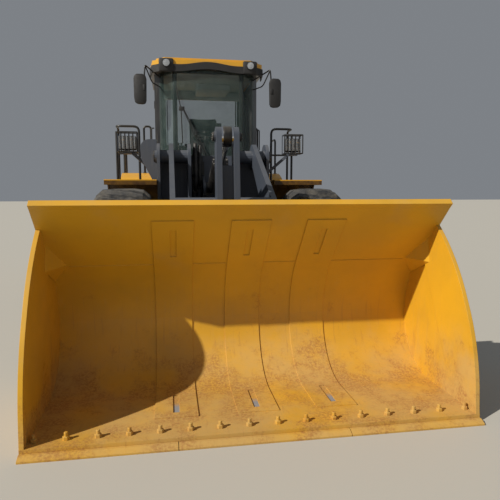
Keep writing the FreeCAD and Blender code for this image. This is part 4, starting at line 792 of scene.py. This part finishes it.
# Mirrors. A rounded black housing with the glass on its back side, held by two bent tubes from the cab's
# corner post and a clamp.
mirror_low, mirror_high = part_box("mirrors")
mirror_z0, mirror_z1 = mirror_high.z - 0.55, mirror_high.z - 0.135
mirror_y, post_y = mirror_low.y + 0.030, mirror_low.y + 0.385
middle_x, middle_z = 0.964, (mirror_z0 + mirror_z1) / 2
shape = [(x, mirror_z0 + up) for x, up in ((0.880, 0.05), (0.895, 0.010), (0.935, 0), (1.005, 0.004),
                                           (1.040, 0.028), (1.050, 0.09))]
shape += [(x, mirror_z1 - down) for x, down in ((1.052, 0.07), (1.042, 0.022), (1.008, 0.002), (0.93, 0),
                                                (0.888, 0.02), (0.874, 0.07))]
face = [(middle_x + (u - middle_x) * 0.84, middle_z + (v - middle_z) * 0.93) for u, v in shape]
w, place, mirror_glass = new_look("mirror_glass")
w.surface(w.blend(w.noise(place, 6, 4), (0.70, 0.72, 0.74, 1), (0.58, 0.60, 0.62, 1)), 0.06, Metallic=1.0)
stay = [(0.695, post_y, mirror_high.z - 0.10), (0.890, mirror_y, mirror_high.z - 0.014),
        (0.905, mirror_y, mirror_z1 - 0.03)]
stay_low = [(0.695, post_y, mirror_high.z - 0.235), (0.80, mirror_y + 0.10, mirror_high.z - 0.23),
            (0.884, mirror_y, mirror_high.z - 0.035)]
mirror_set = mirrored("side_mirrors", [
    slab("mirror_shell", shape, 1, mirror_y - 0.026, mirror_y + 0.024, plastic, 0.016),
    slab("mirror_pane", face, 1, mirror_y + 0.020, mirror_y + 0.0275, mirror_glass, 0.001),
    swept("mirror_stay", stay, 0.0105, cab_black, 0.03),
    swept("mirror_stay_low", stay_low, 0.009, cab_black, 0.06),
    block("mirror_clamp", (0.89, mirror_y - 0.034, middle_z - 0.02),
          (0.925, mirror_y - 0.02, middle_z + 0.06), plastic, 0.006)])
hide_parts("mirrors")
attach(mirror_set, "rear_frame")

# Handrails. Bent steel tube, painted black, on foot plates: a cornered loop by the steps, a narrow one behind
# the cab and a long one beside the hood.
deck_top, arch_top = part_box("handrails")[0].z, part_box("rear_fenders")[1].z + 0.001
tube_r, bend = 0.018, 0.085
outside, inside, y0, y1 = 1.366, 1.03, 0.955, 1.255
tubes = (
    (tube_r, bend, [(outside, y1, deck_top), (outside, y1, 2.54), (outside, y0, 2.54), (inside, y0, 2.54),
                    (inside, y0, deck_top)]),
    (tube_r, bend, [(outside, y0, deck_top), (outside, y0, 2.46)]),
    (0.014, bend, [(inside, y0, 2.13), (outside, y0, 2.13)]),
    (tube_r, 0.05, [(0.89, 2.105, arch_top), (0.89, 2.105, 2.68), (1.01, 2.105, 2.68),
                    (1.01, 2.105, arch_top)]),
    (tube_r, bend, [(outside, 2.225, arch_top), (outside, 2.225, 2.5), (outside, 2.625, 2.5),
                    (outside, 2.625, arch_top)]))
rails = [swept("rail", points, radius, cab_black, corner) for radius, corner, points in tubes]
rails += [block("rail_foot", (x - 0.032, y - 0.04, z), (x + 0.030, y + 0.04, z + 0.010), cab_black, 0.003)
          for radius, corner, points in tubes for x, y, z in points if z in (deck_top, arch_top)]
handrail_set = mirrored("handrail_tubes", rails)
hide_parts("handrails")
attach(handrail_set, "rear_frame")

# Headlamps. A deep black moulded housing with two bowls behind one clear lens, in a guard of round bar that
# is welded over the flat bars of the bracket.
head_low, head_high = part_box("headlamps")
head_x, head_z = head_high.x - 0.115, (head_low.z + head_high.z) / 2
head = [block("lamp_housing", (head_x - 0.113, head_low.y + 0.012, head_low.z + 0.016),
              (head_x + 0.113, head_high.y, head_high.z - 0.006), plastic, 0.014)]
for x in (head_x - 0.052, head_x + 0.052):
    bowl = turned_piece("bowl", [(0.0, 0.050), (0.006, 0.046), (-0.004, 0.030), (-0.008, tip)], 28, reflector,
                        closed=False)
    head.append(placed(bowl, (x, head_low.y + 0.012, head_z + 0.004), Matrix.Rotation(-math.pi / 2, 4, "Z")))
head += [block("lamp_cover", (head_x - 0.106, head_low.y + 0.002, head_low.z + 0.03),
               (head_x + 0.106, head_low.y + 0.0105, head_high.z - 0.012), lens, 0.003),
         block("lamp_foot", (head_x - 0.03, head_low.y + 0.03, head_low.z),
               (head_x + 0.03, head_high.y - 0.03, head_low.z + 0.03), plastic)]
head_lamps = mirrored("headlamp_units", head)
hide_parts("headlamps")
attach(head_lamps, "front_frame")
bar_r, bar_y, guard_z0, guard_z1 = 0.0085, -0.139, 2.085, 2.337
guard_x0, guard_x1, guard_back, upright_bars = head_x - 0.128, head_x + 0.128, bar_y + 0.148, 6
guard = []
for k in range(upright_bars):
    x = guard_x0 + k * (guard_x1 - guard_x0) / (upright_bars - 1)
    guard.append(swept("guard_bar", [(x, bar_y, guard_z0), (x, bar_y, guard_z1)], bar_r, cab_black))
for z in (guard_z0, guard_z1):
    ring = [(guard_x0, bar_y, z), (guard_x1, bar_y, z), (guard_x1, guard_back, z), (guard_x0, guard_back, z)]
    guard.append(swept("guard_ring", ring, bar_r, cab_black, 0.012, closed=True))
guards = mirrored("headlamp_guards", guard)
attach(guards, "front_frame")


# Pins. Each hinge of the loader linkage has a hardened pin that is held by a cap or a keeper plate with
# four bolts; the cap stands on the boss. The tilt rod's eye is a forging, round the rocker's top pin.
def pin_cap(x, y, z, radius):
    # A cap that looks outwards from the machine's middle, with its ring of bolts.
    disc = turned_piece("cap", [(0.0, tip), (0.0, radius), (0.011, radius), (0.016, radius * 0.93),
                                (0.016, radius * 0.40), (0.011, radius * 0.34), (0.011, tip)], 36, cab_black)
    bolts = bolt_ring([(0.015, 0.0), (0.024, 0.0), (0.024, radius * 0.13), (0.015, radius * 0.13)],
                      radius * 0.68, 4, 0.125)
    turn = Matrix.Rotation(math.pi if x < 0 else 0.0, 4, "Z")
    return placed(merged("pin_cap", [disc, bolts]), (x, y, z), turn)


caps_of = {"front_frame": [(0.770, -0.175, 2.02, 0.078)],
           "boom": [(0.1852, -1.875, 1.36, 0.055), (0.5852, -1.275, 1.30, 0.068)],
           "rocker": [(0.1332, -1.825, 2.12, 0.046), (0.1332, -1.775, 0.50, 0.042)],
           "bucket": [(0.6402, -2.725, 0.29, 0.050)]}
for body, places in caps_of.items():
    caps = merged("pin_caps_" + body, [pin_cap(k * x, y, z, r) for x, y, z, r in places for k in (-1, 1)])
    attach(caps, body)
half_eye = [(0.0575, 0.052), (0.0575, 0.090), (0.050, 0.099), (0.022, 0.1035)]
rod_eye = turned_piece("tilt_rod_eye", [(-x, r) for x, r in half_eye] + half_eye[::-1], 56, cab_black, 50)
placed(rod_eye, (0.0, -1.825, 2.12))
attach(rod_eye, "tilt_rod")

# Hydraulics. Pressure hoses of wrapped black rubber with crimped steel ends hang before the tower's cross
# plate; hard pipes run along the cylinders from a port block at the base to the gland.
w, place, hose_rubber = new_look("hose_rubber")
dusty = w.span(w.noise(place, 9, 5, 0.65), 0.4, 0.75)
tone = w.blend(dusty, (0.013, 0.013, 0.014, 1), (0.075, 0.07, 0.062, 1))
w.surface(tone, w.uneven(place, 25, 4, 0.38, 0.6), w.wave(place, 60.0, "DIAGONAL"), 0.25, 0.0015)


def hose(name, radius, points, corner=0.10):
    # A hose with a crimped ferrule and a hexagon nut at both ends.
    pieces = [swept(name, points, radius, hose_rubber, corner)]
    for end, after in ((points[0], points[1]), (points[-1], points[-2])):
        a = Vector(end)
        way = (Vector(after) - a).normalized()
        pieces += [swept("ferrule", [a, a + way * radius * 3.2], radius * 1.18, plated),
                   swept("nut", [a, a + way * radius * 1.2], radius * 1.45, plated, sides=6)]
    return merged(name, pieces)


plate_y = 0.014
tower_lines = merged("tower_hoses", [
    hose("tower_hose", 0.027, [(-0.236, -0.055, 2.028), (-0.236, -0.055, 2.19), (-0.236, -0.165, 2.19),
                               (-0.232, -0.175, 1.60), (-0.232, plate_y, 1.56)]),
    hose("tower_hose", 0.024, [(-0.176, -0.045, 2.028), (-0.176, -0.045, 2.16), (-0.172, -0.150, 2.16),
                               (-0.178, -0.158, 1.66), (-0.178, plate_y, 1.64)]),
    hose("tower_hose", 0.019, [(0.20, plate_y, 1.92), (0.20, -0.12, 1.92), (0.21, -0.13, 1.50),
                               (0.22, plate_y, 1.46)]),
    *[hose("pilot_hose", 0.011, [(x, -0.049, 1.752), (x - 0.01, -0.052, 1.52), (x - 0.01, plate_y, 1.42)],
           0.06) for x in (-0.257, -0.200, -0.143)]])
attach(tower_lines, "front_frame")


def pipes_along(foot, head, x, start, end, offset, radius, gland):
    # Pipes on a barrel of a radius: two lines with clamps, and the gland's ring of bolts. All but the
    # offset are distances along the barrel from its foot.
    low, high = Vector((x, *foot)), Vector((x, *head))
    way = (high - low).normalized()
    turn = way.to_track_quat("X", "Z").to_matrix().to_4x4()
    up = Vector((0, way.z, -way.y))
    up = up if up.z > 0 else -up
    out = []
    for shift, reach in ((-0.020, end), (0.020, start + 0.10)):
        near, far = (low + Vector((shift, 0, 0)) + way * step for step in (start, reach))
        foot_in, head_in = (point + up * (offset - 0.03) for point in (near, far))
        line = [foot_in, near + up * offset, far + up * offset, head_in]
        out.append(swept("pipe", line, 0.009, cab_black, 0.02))
    band_line = [(-0.014, radius + 0.0005), (-0.014, radius + 0.006), (0.014, radius + 0.006),
                 (0.014, radius + 0.0005)]
    out += [placed(turned_piece("clamp", band_line, 32, cab_black), low + way * reach, turn)
            for reach in (start + 0.35, end - 0.30)]
    bolts = bolt_ring([(0.0, 0.0), (0.010, 0.0), (0.010, 0.009), (0.0, 0.009)], radius - 0.010, 10)
    return out + [placed(bolts, low + way * gland, turn)]


lift_pipes = mirrored("lift_cylinder_pipes", pipes_along(
    (-0.045, 0.86), (-1.275, 1.30), 0.44, start=0.14, end=1.13, offset=0.093, radius=0.0752, gland=1.2255))
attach(lift_pipes, "lift_barrels")
tilt_pipes = merged("tilt_cylinder_pipes", pipes_along(
    (-0.225, 1.60), (-1.825, 2.12), 0.0, start=0.14, end=0.90, offset=0.108, radius=0.0902, gland=0.9825))
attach(tilt_pipes, "tilt_barrel")

# Driver's seat. Sprung seat in black cloth: a bellows base, a crowned cushion and a back with side bolsters,
# sewn along their edges, and padded armrests.
w, place, cloth = new_look("seat_cloth")
threads = w.times(w.wave(place, 180.0, "X"), w.wave(place, 180.0, "Z"))
w.surface(w.blend(threads, (0.012, 0.012, 0.014, 1), (0.055, 0.055, 0.062, 1)), 0.9, threads, 0.5,
          **{"Sheen Weight": 0.35})


def cushion(name, one, other, crown, axis):
    # A pad: a box whose sides are drawn in between its corners and whose wide faces swell along an axis.
    size = [abs(b - a) for a, b in zip(one, other)]
    middle = [(a + b) / 2 for a, b in zip(one, other)]
    work = bmesh.new()
    bmesh.ops.create_cube(work, size=1.0)
    bmesh.ops.subdivide_edges(work, edges=work.edges, cuts=7, use_grid_fill=True)
    across, along = [i for i in range(3) if i != axis]
    for vert in work.verts:
        u = vert.co * 2
        a, b = u[across], u[along]
        swell = (1 - a ** 4) * (1 - b ** 4)
        seam = 1.0 - 0.05 * math.exp(-((abs(a) - 0.62) / 0.07) ** 2)
        vert.co[axis] = u[axis] * (0.5 - crown * (1 - swell)) * size[axis] * seam + middle[axis]
        vert.co[across] = a * (0.5 - 0.02 * (1 - b * b)) * size[across] + middle[across]
        vert.co[along] = b * (0.5 - 0.02 * (1 - a * a)) * size[along] + middle[along]
    mesh = bpy.data.meshes.new(name)
    work.to_mesh(mesh)
    work.free()
    mesh.materials.append(cloth)
    pad = added(name, mesh)
    step = pad.modifiers.new("smooth", "SUBSURF")
    step.levels = step.render_levels = 1
    return finished(pad)


seat_pad = cushion("seat_cushion", (-0.25, 1.268, 1.955), (0.25, 1.745, 2.108), 0.14, 2)
back_foot, back_lean = 2.07, 0.075
back_pad = cushion("seat_back", (-0.235, 1.672, back_foot), (0.235, 1.80, 2.785), 0.16, 1)
for vert in back_pad.data.vertices:
    vert.co.y += (vert.co.z - back_foot) * back_lean
arm_pads = [cushion("arm_pad_" + name, (k * 0.265, 1.37, 2.292), (k * 0.325, 1.70, 2.334), 0.12, 2)
            for name, k in (("left", 1), ("right", -1))]
bellows = [(0.0, tip)]
for k in range(7):
    z = 0.012 + k * 0.036
    bellows += [(z, 0.19), (z + 0.012, 0.20), (z + 0.024, 0.19), (z + 0.030, 0.165)]
bellows += [(0.29, 0.175), (0.29, tip)]
seat_base = turned_piece("seat_base", bellows, 36, plastic, closed=False)
placed(seat_base, (0, 1.51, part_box("seat")[0].z + 0.002), upright)
seat_parts = [seat_base, block("seat_pan", (-0.24, 1.29, 1.925), (0.24, 1.76, 1.962), plastic, 0.01)]
stay = ((0.28, 1.74, 2.30), (0.28, 1.80, 2.26), (0.20, 1.80, 2.24))
seat_parts += [swept("arm_stay", [(k * x, y, z) for x, y, z in stay], 0.014, plastic, 0.03) for k in (-1, 1)]
seat_parts += [block("arm_rail", (k * 0.275, 1.40, 2.268), (k * 0.315, 1.75, 2.294), plastic)
               for k in (-1, 1)]
seat_frame = merged("seat_frame", seat_parts)
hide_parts("seat")
for piece in (seat_pad, back_pad, *arm_pads):
    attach(piece, "rear_frame")
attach(seat_frame, "rear_frame")
